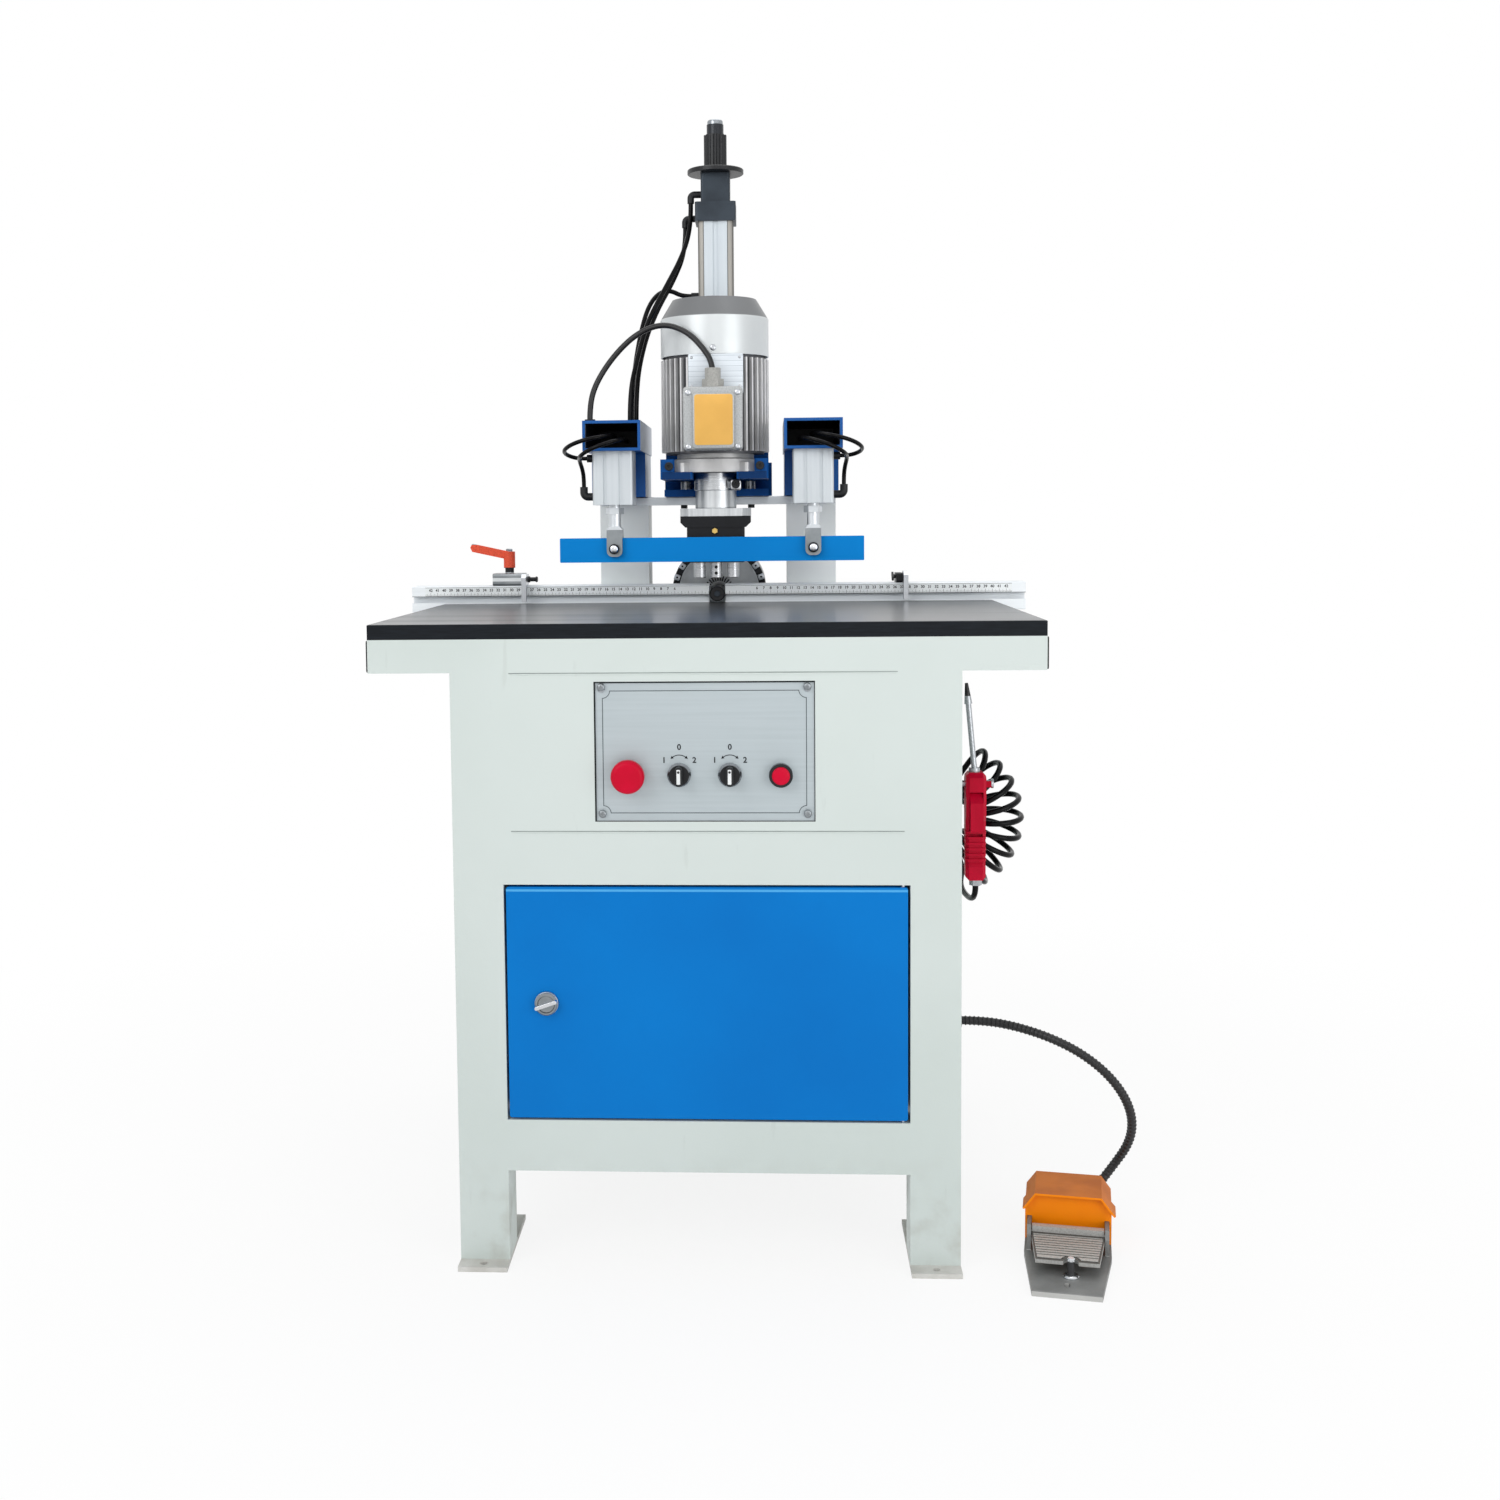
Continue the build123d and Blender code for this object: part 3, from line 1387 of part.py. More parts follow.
# Horizontal unit: motor on a sliding plate behind the fence
shield_depth = 18
slide_fin_root = slide_motor_diameter / 2 - 8
slide_body_from = slide_motor_front + shield_depth
slide_body_to = 425
slide_cowl_to = slide_motor_front + slide_motor_length
saddle_from = 287
saddle_length = 110
saddle_mid = saddle_from + saddle_length / 2
saddle_low = 709
saddle_high = 721
bush_from = 305
bush_length = 74
ring_diameter = 50
ring_depth = 8
with BuildPart() as slide_shield:
    with BuildSketch(along_y(unit_x, slide_motor_front, slide_z)):
        Circle(slide_motor_diameter / 2)
        Circle(shaft_hole, mode=Mode.SUBTRACT)
    extrude(amount=shield_depth)
    fillet(slide_shield.edges().group_by(Axis.Y)[0].sort_by(SortBy.RADIUS)[-1], 4)
    with BuildSketch(along_y(unit_x, slide_motor_front + 4, slide_z)):
        Circle(bearing_outer / 2 + seat_gap)
    extrude(amount=shield_depth - 4, mode=Mode.SUBTRACT)
    with BuildSketch(facing(unit_x, slide_motor_front, slide_z)):
        with GridLocations(112, 64, 2, 2):
            Circle(7)
    extrude(amount=4)
with BuildPart() as slide_body:
    with BuildSketch(along_y(unit_x, slide_body_from, slide_z)):
        Circle(slide_fin_root)
        with PolarLocations(slide_fin_root + 2, 36):
            Rectangle(6, 3)
        Circle(rotor_diameter / 2 + 1, mode=Mode.SUBTRACT)
    extrude(amount=slide_body_to - slide_body_from - end_wall)
    with BuildSketch(along_y(unit_x, slide_body_to - end_wall, slide_z)):
        Circle(slide_fin_root)
        Circle(rear_bearing / 2 + seat_gap, mode=Mode.SUBTRACT)
    extrude(amount=end_wall)
    with BuildSketch(level(saddle_high)):
        with Locations((unit_x - 50, saddle_mid), (unit_x + 50, saddle_mid)):
            Rectangle(22, saddle_length - 20)
    extrude(amount=36)
with BuildPart() as slide_cowl:
    with BuildSketch(along_y(unit_x, slide_body_to, slide_z)):
        Circle(slide_motor_diameter / 2 - 1)
        Circle(slide_motor_diameter / 2 - 3, mode=Mode.SUBTRACT)
    extrude(amount=slide_cowl_to - slide_body_to)
    with BuildSketch(along_y(unit_x, slide_cowl_to - 2, slide_z)):
        Circle(slide_motor_diameter / 2 - 1)
        with PolarLocations(38, 14):
            SlotOverall(32, 6, mode=Mode.SUBTRACT)
    extrude(amount=2)
    with BuildSketch(along_y(unit_x, slide_body_to, slide_z)):
        with PolarLocations(slide_fin_root - 1, 4, start_angle=45):
            Rectangle(14, 14)
        Circle(slide_motor_diameter / 2 - 1, mode=Mode.INTERSECT)
    extrude(amount=4)
with BuildPart() as slide_ring:
    with BuildSketch(facing(unit_x, slide_motor_front, slide_z)):
        Circle(ring_diameter / 2)
        Circle(shaft_hole, mode=Mode.SUBTRACT)
        with PolarLocations(ring_diameter / 2, 14):
            Rectangle(10, 4, mode=Mode.SUBTRACT)
    extrude(amount=ring_depth)
with BuildPart() as saddle:
    with BuildSketch(level(saddle_low)):
        with Locations((unit_x, saddle_mid)):
            Rectangle(slide_pitch + 36, saddle_length)
    extrude(amount=saddle_high - saddle_low)
    for x in slide_rod_xs:
        with BuildSketch(along_y(x, bush_from, slide_rod_z)):
            with Locations((0, (saddle_low + deck_top + 4) / 2 - slide_rod_z)):
                Rectangle(40, saddle_low - deck_top - 4)
            Circle(slide_rod / 2 + shaft_gap, mode=Mode.SUBTRACT)
        extrude(amount=bush_length)
    with BuildSketch(along_y(unit_x, saddle_from, (saddle_low + deck_top + 7) / 2)):
        Rectangle(30, saddle_low - deck_top - 7)
    extrude(amount=8)
    slide_axis_z = deck_top + slide_barrel / 2
    with BuildSketch(along_y(unit_x, saddle_from + 8, slide_axis_z)):
        Circle(slide_piston_rod / 2)
    extrude(amount=380 - saddle_from - 8)
    with BuildSketch(along_y(unit_x, 380, slide_axis_z)):
        Circle(slide_bore / 2 - shaft_gap)
    extrude(amount=12)
slide_rings = [
    bar(along_y(unit_x, slide_motor_front + 4, slide_z), bearing_outer, bearing_width, shaft_room),
    bar(along_y(unit_x, slide_body_to - end_wall, slide_z), rear_bearing, end_wall, shaft_room),
]
slide_motor = Compound(
    label="slide_motor",
    children=[slide_shield.part, slide_body.part, slide_cowl.part, slide_ring.part, saddle.part,
              *slide_rings],
)
export_step(slide_motor, "parts/slide_motor.step")

nose_length = 72
with BuildPart() as slide_spindle:
    with BuildSketch(along_y(unit_x, nose_front, slide_z)):
        Circle(nose_diameter / 2)
    extrude(amount=nose_length)
    chamfer(slide_spindle.edges().group_by(Axis.Y)[0], 1)
    with BuildSketch(along_y(unit_x, nose_front, slide_z)):
        Circle(bit_shank / 2)
    extrude(amount=25, mode=Mode.SUBTRACT)
    with BuildSketch(along_y(unit_x, nose_front + nose_length, slide_z)):
        Circle(motor_shaft / 2)
    extrude(amount=slide_body_to + 36 - nose_front - nose_length)
    with BuildSketch(along_y(unit_x, slide_body_from + 12, slide_z)):
        Circle(rotor_diameter / 2)
    extrude(amount=slide_body_to - end_wall - slide_body_from - 24)
    with BuildSketch(along_y(unit_x, slide_body_to + 10, slide_z)):
        Circle(16)
        with PolarLocations(36, 7):
            Rectangle(46, 3)
    extrude(amount=22)
slide_spindle.part.label = "slide_spindle"
export_step(slide_spindle.part, "parts/slide_spindle.step")

# Air gun on its peg
trigger_pivot = (gun_y - 10, gun_top - 29)
with BuildPart() as gun_body:
    with BuildSketch(side(gun_x - gun_width / 2)):
        with BuildLine():
            Polyline(
                (gun_y - 13, gun_bottom),
                (gun_y + 13, gun_bottom),
                (gun_y + 13, gun_bottom + 17),
                (gun_y + 10, gun_bottom + 22),
                (gun_y + 12, gun_bottom + 60),
                (gun_y + 15, gun_top - 30),
                (gun_y + 15, gun_top - 8),
                (gun_y + 9, gun_top),
                (gun_y - 12, gun_top),
                (gun_y - 18, gun_top - 6),
                (gun_y - 18, gun_top - 54),
                (gun_y - 13, gun_top - 62),
                (gun_y - 11, gun_bottom + 48),
                (gun_y - 10, gun_bottom + 22),
                (gun_y - 13, gun_bottom + 17),
                close=True,
            )
        make_face()
    extrude(amount=gun_width)
    chamfer(gun_body.faces().sort_by(Axis.X)[0].edges(), 4)
    chamfer(gun_body.faces().sort_by(Axis.X)[-1].edges(), 4)
    with BuildSketch(side(gun_x - gun_width / 2)):
        with Locations((peg_y, peg_z)):
            Circle(peg_diameter / 2 + 0.5)
        with Locations(trigger_pivot):
            Circle(2 + shaft_gap)
    extrude(amount=gun_width, mode=Mode.SUBTRACT)
    with BuildSketch(side(gun_x - 8.5)):
        with Locations((gun_y - 20, gun_top - 53)):
            Rectangle(28, 58)
    extrude(amount=17, mode=Mode.SUBTRACT)
    for n in range(6):
        with BuildSketch(level(gun_bottom + 24 + 7 * n)):
            with Locations((gun_x, gun_y)):
                RectangleRounded(gun_width + 1, 25, 5)
                RectangleRounded(gun_width - 3, 19, 4, mode=Mode.SUBTRACT)
        extrude(amount=3)
gun_body.part.label = "gun_body"
export_step(gun_body.part, "parts/gun_body.step")

with BuildPart() as gun_trigger:
    with BuildSketch(side(gun_x - 8)):
        with Locations(trigger_pivot):
            Circle(3.7)
        with BuildLine():
            Polyline(
                (trigger_pivot[0] + 2.5, trigger_pivot[1] - 2.5),
                (trigger_pivot[0] - 11, trigger_pivot[1] - 45),
                (trigger_pivot[0] - 15, trigger_pivot[1] - 44),
                (trigger_pivot[0] - 12, trigger_pivot[1] - 8),
                (trigger_pivot[0] - 3, trigger_pivot[1] + 2),
                close=True,
            )
        make_face()
    extrude(amount=16)
    with BuildSketch(side(gun_x - gun_width / 2 + 0.5)):
        with Locations(trigger_pivot):
            Circle(2)
    extrude(amount=gun_width - 1)
gun_trigger.part.label = "gun_trigger"
export_step(gun_trigger.part, "parts/gun_trigger.step")

nozzle_base = 5
nozzle_run = Vector(-9, 0, 96)
with BuildPart() as nozzle:
    with BuildSketch(level(gun_top)):
        with Locations((gun_x - 1, gun_y)):
            Circle(7)
    extrude(amount=nozzle_base)
    with BuildSketch(Plane(origin=(gun_x - 1, gun_y, gun_top + nozzle_base - 1), z_dir=nozzle_run)):
        Circle(3.5)
    extrude(amount=84)
    tip = Plane(origin=(gun_x - 1, gun_y, gun_top + nozzle_base - 1), z_dir=nozzle_run)
    with BuildSketch(tip.offset(82)):
        Circle(5)
    with BuildSketch(tip.offset(108)):
        Circle(2)
    loft()
with BuildPart() as gun_fitting:
    with BuildSketch(level(gun_bottom - 8)):
        with Locations((gun_x + 1, gun_y)):
            RegularPolygon(8, 6)
    extrude(amount=8)
gun_nozzle = Compound(label="gun_nozzle", children=[nozzle.part, gun_fitting.part])
export_step(gun_nozzle, "parts/gun_nozzle.step")

# Foot pedal in its own turned frame
turn = math.radians(pedal_turn)
across = Vector(math.cos(turn), -math.sin(turn), 0)
length_way = Vector(math.sin(turn), math.cos(turn), 0)
pedal = Plane(origin=(pedal_front[0], pedal_front[1], 0), x_dir=across, z_dir=(0, 0, 1))


def pedal_across(u):
    """Plane across the pedal: pedal length to the right, Z up."""
    return Plane(origin=pedal.from_local_coords((u, 0, 0)), x_dir=length_way, z_dir=across)


def pedal_along(v):
    """Plane along the pedal: pedal width to the right, Z up, facing its front."""
    return Plane(origin=pedal.from_local_coords((0, v, 0)), x_dir=across, z_dir=-1 * length_way)


base_plate = 7
hood_half = 52
cheek_in = 44
cheek_out = 49
cheek_top = 36
hinge_v = 125
hinge_z = 25
axle = 6
notch_u = 4
treadle_front = 45
with BuildPart() as pedal_body:
    with BuildSketch(pedal):
        with BuildLine():
            Polyline((-40, 0), (40, 0), (hood_half, 110), (hood_half, pedal_length),
                     (-hood_half, pedal_length), (-hood_half, 110), close=True)
        make_face()
        with Locations((0, 22)):
            SlotOverall(12, 7, rotation=90, mode=Mode.SUBTRACT)
    extrude(amount=base_plate)
    chamfer(pedal_body.edges().group_by(Axis.Z)[-1].sort_by_distance(
        pedal.from_local_coords((0, 0, base_plate)))[0:1], 1)
    for u in (-cheek_out, cheek_in):
        with BuildSketch(pedal_across(u)):
            with BuildLine():
                Polyline((112, base_plate), (pedal_length - 8, base_plate), (pedal_length - 8, cheek_top),
                         (120, cheek_top), (114, 26), close=True)
            make_face()
            with Locations((hinge_v, hinge_z)):
                Circle(axle / 2 + shaft_gap, mode=Mode.SUBTRACT)
        extrude(amount=cheek_out - cheek_in)
    with BuildSketch(pedal.offset(base_plate)):
        with Locations((0, 179)):
            Rectangle(2 * cheek_in, 56)
    extrude(amount=20)
with BuildPart() as guide_pin:
    with BuildSketch(pedal.offset(base_plate)):
        with Locations((notch_u, treadle_front)):
            Circle(7)
    extrude(amount=4)
    with BuildSketch(pedal.offset(base_plate + 4)):
        with Locations((notch_u, treadle_front)):
            Circle(4)
    extrude(amount=18)
pedal_base = Compound(label="pedal_base", children=[pedal_body.part, guide_pin.part])
export_step(pedal_base, "parts/pedal_base.step")

treadle_low = 21
treadle_plate = 5
heel_bar = 9
hood_wall = 2.5
hood_top = 68
hood_front = 139
hood_wall_v = 148
with BuildPart() as pedal_hood:
    with BuildSketch(pedal_along(hood_wall_v)):
        with BuildLine():
            Polyline((-hood_half, base_plate), (-hood_half, hood_top - 16), (-hood_half + 12, hood_top),
                     (hood_half - 12, hood_top), (hood_half, hood_top - 16), (hood_half, base_plate),
                     close=True)
        make_face()
        with BuildLine():
            Polyline((-hood_half + hood_wall, base_plate), (-hood_half + hood_wall, hood_top - 17),
                     (-hood_half + 13, hood_top - hood_wall), (hood_half - 13, hood_top - hood_wall),
                     (hood_half - hood_wall, hood_top - 17), (hood_half - hood_wall, base_plate),
                     close=True)
        make_face(mode=Mode.SUBTRACT)
    extrude(amount=-(pedal_length - hood_wall_v))
    with BuildSketch(pedal_along(hood_wall_v)):
        with BuildLine():
            Polyline((-cheek_in + run_gap, treadle_low), (cheek_in - run_gap, treadle_low),
                     (cheek_in - run_gap, cheek_top + run_gap), (hood_half, cheek_top + run_gap),
                     (hood_half, hood_top - 16), (hood_half - 12, hood_top), (-hood_half + 12, hood_top),
                     (-hood_half, hood_top - 16), (-hood_half, cheek_top + run_gap),
                     (-cheek_in + run_gap, cheek_top + run_gap), close=True)
        make_face()
    extrude(amount=-hood_wall)
    with BuildSketch(pedal_along(pedal_length - hood_wall)):
        with BuildLine():
            Polyline((-hood_half, base_plate), (-hood_half, hood_top - 16), (-hood_half + 12, hood_top),
                     (hood_half - 12, hood_top), (hood_half, hood_top - 16), (hood_half, base_plate),
                     close=True)
        make_face()
    extrude(amount=-hood_wall)
    with BuildSketch(pedal_along(hood_front)):
        with BuildLine():
            Polyline((-hood_half - 3, hood_top - 20), (-hood_half, hood_top - 16),
                     (-hood_half + 12, hood_top), (hood_half - 12, hood_top),
                     (hood_half, hood_top - 16), (hood_half + 5, hood_top - 22),
                     (hood_half + 3, hood_top - 23), (hood_half - hood_wall, hood_top - 17),
                     (hood_half - 13, hood_top - hood_wall), (-hood_half + 13, hood_top - hood_wall),
                     (-hood_half + hood_wall, hood_top - 17), (-hood_half - 1, hood_top - 21), close=True)
        make_face()
    extrude(amount=-(pedal_length - hood_wall_v) / 2)
pedal_hood.part.label = "pedal_hood"
export_step(pedal_hood.part, "parts/pedal_hood.step")

with BuildPart() as treadle:
    with BuildSketch(pedal.offset(treadle_low)):
        with BuildLine():
            Polyline((-37, treadle_front), (37, treadle_front), (cheek_in - 1, hinge_v - 15),
                     (cheek_in - 1, hinge_v + 6), (-cheek_in + 1, hinge_v + 6),
                     (-cheek_in + 1, hinge_v - 15), close=True)
        make_face()
        with Locations((notch_u, treadle_front)):
            Circle(9, mode=Mode.SUBTRACT)
    extrude(amount=treadle_plate)
    with BuildSketch(pedal.offset(treadle_low + treadle_plate)):
        with BuildLine():
            Polyline((-35, treadle_front + 3), (35, treadle_front + 3), (cheek_in - 3, hinge_v - 15),
                     (cheek_in - 3, hinge_v - 10), (-cheek_in + 3, hinge_v - 10),
                     (-cheek_in + 3, hinge_v - 15), close=True)
        make_face()
        with Locations((notch_u, treadle_front)):
            Circle(12, mode=Mode.SUBTRACT)
        for n in range(9):
            with Locations((0, treadle_front + 11 + 7 * n)):
                Rectangle(120, 3, mode=Mode.SUBTRACT)
    extrude(amount=1.5)
    with BuildSketch(pedal.offset(treadle_low + treadle_plate)):
        with Locations((0, hinge_v + 1.5)):
            Rectangle(2 * (cheek_in - 1), heel_bar)
    extrude(amount=heel_bar - 1)
    with BuildSketch(pedal_across(-cheek_out)):
        with Locations((hinge_v, hinge_z)):
            Circle(axle / 2)
    extrude(amount=2 * cheek_out)
treadle.part.label = "treadle"
export_step(treadle.part, "parts/treadle.step")

# Glands and unions on the panels
coil_y = -150
coil_inset = 2
coil_middle = (panel_x - coil_inset, 515)
union_y = coil_y + coil_radius
union_z = 545
rear_port_x = 150
rear_port_z = 230
gland_nut = 8
gland_dome = 8
glands = []
with BuildPart() as conduit_gland:
    with BuildSketch(along_x(panel_x, gland_y, gland_z)):
        RegularPolygon(14, 6)
    extrude(amount=gland_nut)
    with BuildSketch(along_x(panel_x + gland_nut, gland_y, gland_z)):
        Circle(10)
    extrude(amount=gland_dome)
    with BuildSketch(along_x(panel_x - sheet, gland_y, gland_z)):
        Circle(gland_hole / 2 - 0.2)
    extrude(amount=sheet)
    with BuildSketch(along_x(panel_x - sheet - 5, gland_y, gland_z)):
        RegularPolygon(14, 6)
    extrude(amount=5)
    with BuildSketch(along_x(panel_x + gland_nut, gland_y, gland_z)):
        Circle(conduit_diameter / 2 + run_gap)
    extrude(amount=gland_dome, mode=Mode.SUBTRACT)
glands.append(conduit_gland.part)
for x, nut, neck, reach in ((rear_port_x, 14, 20, 12), (-rear_port_x, 12, 13, 20)):
    with BuildPart() as rear_port:
        with BuildSketch(along_y(x, rear_y, rear_port_z)):
            RegularPolygon(nut, 6)
        extrude(amount=10)
        with BuildSketch(along_y(x, rear_y + 10, rear_port_z)):
            Circle(neck / 2)
        extrude(amount=reach)
        with BuildSketch(along_y(x, rear_y + 10, rear_port_z)):
            Circle(neck / 2 - 3)
        extrude(amount=reach, mode=Mode.SUBTRACT)
    glands.append(rear_port.part)
with BuildPart() as hose_union:
    with BuildSketch(along_x(panel_x, union_y, union_z)):
        RegularPolygon(9, 6)
    extrude(amount=7)
    with BuildSketch(along_x(panel_x + 7, union_y, union_z)):
        Circle(coil_tube / 2 + 1.5)
    extrude(amount=5)
glands.append(hose_union.part)
pedal_entry = pedal.from_local_coords((24, pedal_length, 32))
entry_way = Vector(0.66, 0.42, 0.62).normalized()
with BuildPart() as pedal_gland:
    with BuildSketch(Plane(origin=pedal_entry, x_dir=across, z_dir=length_way)):
        RegularPolygon(12, 6)
    extrude(amount=6)
    with BuildLine():
        FilletPolyline(pedal_entry + 4 * length_way, pedal_entry + 14 * length_way,
                       pedal_entry + 14 * length_way + 14 * entry_way, radius=6)
    with BuildSketch(Plane(origin=pedal_entry + 4 * length_way, x_dir=across, z_dir=length_way)):
        Circle(8)
    sweep()
glands.append(pedal_gland.part)
glands_and_unions = Compound(label="glands_and_unions", children=glands)
export_step(glands_and_unions, "parts/glands_and_unions.step")

# Push-in fittings of the air cylinders, and the grommets on the arms
fitting = 11
clamp_face = arm_pitch / 2 + clamp_body / 2
upper_port = clamp_low + 66
lower_port = clamp_low + 12
straight_reach = 10
elbow_reach = 15
elbow_rise = 14
fittings = []
for hand in (-1, 1):
    out = Plane(origin=(hand * clamp_face, clamp_y, upper_port), z_dir=(hand, 0, 0))
    fittings.append(bar(out, fitting, straight_reach))
    corner = hand * (clamp_face + elbow_reach)
    fittings.append(elbow([(hand * clamp_face, clamp_y, lower_port), (corner, clamp_y, lower_port),
                           (corner, clamp_y, lower_port + elbow_rise)], fitting, 6))
block_face = unit_x - stop_block_width / 2
block_port = cap_top + 15
cap_face = unit_x - upper_cap_width / 2
cap_port = barrel_high + 10
low_face = unit_x - barrel_width / 2
low_port = barrel_low + 12
low_port_y = feed_y + 12
drop_x = cap_face - 7
fittings.append(elbow([(block_face, feed_y, block_port), (drop_x, feed_y, block_port),
                       (drop_x, feed_y, block_port - 13)], fitting - 1, 5.5))
cap_drop_x = cap_face - 16
cap_port_y = feed_y + 13
fittings.append(elbow([(cap_face, cap_port_y, cap_port), (cap_drop_x, cap_port_y, cap_port),
                       (cap_drop_x, cap_port_y, cap_port - 13)], fitting - 1, 5.5))
out = Plane(origin=(low_face, low_port_y, low_port), z_dir=(-1, 0, 0))
fittings.append(bar(out, fitting - 1, 12))
entries = [(-120, 118), (-112, 132), (-118, 150)]
cable_entry = (-172, 62)
for spot in entries + [cable_entry]:
    hole = cable_diameter if spot == cable_entry else hose_diameter
    fittings.append(bar(Plane((spot[0], spot[1], arm_top)), hole + 7, 3, hole + 2 * run_gap))
hose_fittings = Compound(label="hose_fittings", children=fittings)
export_step(hose_fittings, "parts/hose_fittings.step")

# Cords. The points run from one fixed end to the other.
gland_top = terminal_low + box_height + 27
motor_cable = cord(
    "motor_cable",
    [
        (gland_at[0], gland_at[1], gland_top - 12),
        (gland_at[0], gland_at[1], gland_top + 6),
        (-10, 36, 1135),
        (-33, 46, 1160),
        (-66, 55, 1173),
        (-102, 60, 1162),
        (-134, 62, 1134),
        (-160, 62, 1098),
        (cable_entry[0], cable_entry[1], 1066),
        (cable_entry[0], cable_entry[1], arm_top),
    ],
    cable_diameter,
)
motor_cable.label = "motor_cable"
export_step(motor_cable, "parts/motor_cable.step")

feed_hoses = [
    cord(
        "feed hose 1",
        [
            (drop_x, feed_y, block_port - 13),
            (drop_x, feed_y, 1336),
            (-46, 218, 1291),
            (-72, 190, 1238),
            (-96, 160, 1188),
            (-110, 136, 1132),
            (entries[0][0], entries[0][1], 1082),
            (entries[0][0], entries[0][1], arm_top),
        ],
        hose_diameter,
    ),
    cord(
        "feed hose 2",
        [
            (cap_drop_x, cap_port_y, cap_port - 13),
            (cap_drop_x, cap_port_y, 1300),
            (-62, 226, 1252),
            (-85, 194, 1206),
            (-102, 166, 1156),
            (entries[1][0], entries[1][1], 1092),
            (entries[1][0], entries[1][1], arm_top),
        ],
        hose_diameter,
    ),
    cord(
        "feed hose 3",
        [
            (low_face - 12, low_port_y, low_port),
            (low_face - 26, low_port_y, low_port),
            (-67, 248, 1243),
            (-84, 242, 1239),
            (-99, 228, 1218),
            (-109, 204, 1178),
            (-116, 176, 1128),
            (entries[2][0], entries[2][1], 1084),
            (entries[2][0], entries[2][1], arm_top),
        ],
        hose_diameter,
    ),
]
hoses = list(feed_hoses)
for hand in (-1, 1):
    top_hose = [
        (clamp_face + straight_reach, clamp_y, upper_port),
        (clamp_face + 21.5, clamp_y, upper_port),
        (clamp_face + 33.5, clamp_y - 7, upper_port + 3),
        (clamp_face + 39.5, clamp_y - 20, upper_port + 7),
        (clamp_face + 38.5, clamp_y - 35, upper_port + 11),
        (clamp_face + 30.5, clamp_y - 48, upper_port + 16),
        (clamp_face + 17.5, clamp_y - 56, upper_port + 21),
        (clamp_face + 1.5, clamp_y - 59, upper_port + 25),
        (clamp_face - 13.5, clamp_y - 55, upper_port + 28),
        (clamp_face - 24.5, clamp_y - 44, upper_port + 30),
        (clamp_face - 29.5, clamp_y - 28, upper_port + 31),
        (clamp_face - 30.5, clamp_y - 6, upper_port + 31),
        (clamp_face - 28.5, clamp_y + 22, upper_port + 30),
    ]
    low_hose = [
        (clamp_face + elbow_reach, clamp_y, lower_port + elbow_rise),
        (clamp_face + elbow_reach, clamp_y, lower_port + elbow_rise + 14),
        (clamp_face + 16.5, clamp_y - 7, lower_port + 40),
        (clamp_face + 18.5, clamp_y - 19, lower_port + 49),
        (clamp_face + 17.5, clamp_y - 33, lower_port + 54),
        (clamp_face + 14.5, clamp_y - 49, lower_port + 56),
        (clamp_face + 6.5, clamp_y - 59, lower_port + 61),
        (clamp_face - 6.5, clamp_y - 65, lower_port + 67),
        (clamp_face - 21.5, clamp_y - 65, lower_port + 72),
        (clamp_face - 34.5, clamp_y - 59, lower_port + 76),
        (clamp_face - 43.5, clamp_y - 47, lower_port + 78),
        (clamp_face - 47.5, clamp_y - 31, lower_port + 78),
        (clamp_face - 46.5, clamp_y + 20, lower_port + 78),
    ]
    for label, points in (("upper clamp hose", top_hose), ("lower clamp hose", low_hose)):
        hoses.append(cord(label, [(hand * x, y, z) for x, y, z in points], small_hose))
air_hoses = Compound(label="air_hoses", children=hoses)
export_step(air_hoses, "parts/air_hoses.step")


def coil_point(phi):
    """Point and direction on the fanned coil; phi runs over all turns."""
    share = phi / (2 * math.pi * coil_turns)
    fan = math.radians(coil_from + (coil_to - coil_from) * share)
    fan_rate = math.radians(coil_to - coil_from) / (2 * math.pi * coil_turns)
    swing = phi + math.pi / 2
    out = coil_fan_radius + coil_radius * math.cos(swing)
    out_rate = -coil_radius * math.sin(swing)
    spot = Vector(coil_middle[0] + out * math.cos(fan), coil_y + coil_radius * math.sin(swing),
                  coil_middle[1] + out * math.sin(fan))
    way = Vector(out_rate * math.cos(fan) - out * fan_rate * math.sin(fan), coil_radius * math.cos(swing),
                 out_rate * math.sin(fan) + out * fan_rate * math.cos(fan))
    return spot, way.normalized()


quarters = 4 * coil_turns
coil_spots = [coil_point(n * math.pi / 2) for n in range(quarters + 1)]
gun_outlet = Vector(gun_x + 1, gun_y, gun_bottom - 8)
first_spot, first_way = coil_spots[0]
last_spot, last_way = coil_spots[-1]
tail_drop = 24
tail = [
    gun_outlet,
    gun_outlet - Vector(0, 0, tail_drop),
    Vector(first_spot.X, first_spot.Y, gun_outlet.Z - tail_drop),
]
with BuildPart() as coil_hose:
    with BuildLine() as coil_line:
        FilletPolyline(*tail, first_spot - 14 * first_way, first_spot, radius=[18, 18, 10])
        for (spot, way), (spot_next, way_next) in zip(coil_spots, coil_spots[1:]):
            chord = spot_next - spot
            both = chord.dot(way + way_next)
            spread = 2 * (1 - way.dot(way_next))
            reach = (math.sqrt(both**2 + spread * chord.dot(chord)) - both) / spread
            joint = (spot + reach * way + spot_next - reach * way_next) * 0.5
            TangentArc(spot, joint, tangent=way)
            TangentArc(joint, spot_next, tangent=spot_next - reach * way_next - spot - reach * way)
        FilletPolyline(last_spot, last_spot + 22 * last_way, (panel_x + 16, union_y, union_z),
                       (panel_x + 12, union_y, union_z), radius=[12, 4])
    with BuildSketch(Plane(origin=gun_outlet, x_dir=(1, 0, 0), z_dir=(0, 0, -1))):
        RegularPolygon(coil_tube / 2, 8)
    sweep()
coil_length = coil_line.wires()[0].length
coil_section = 2 * math.sqrt(2) * (coil_tube / 2) ** 2
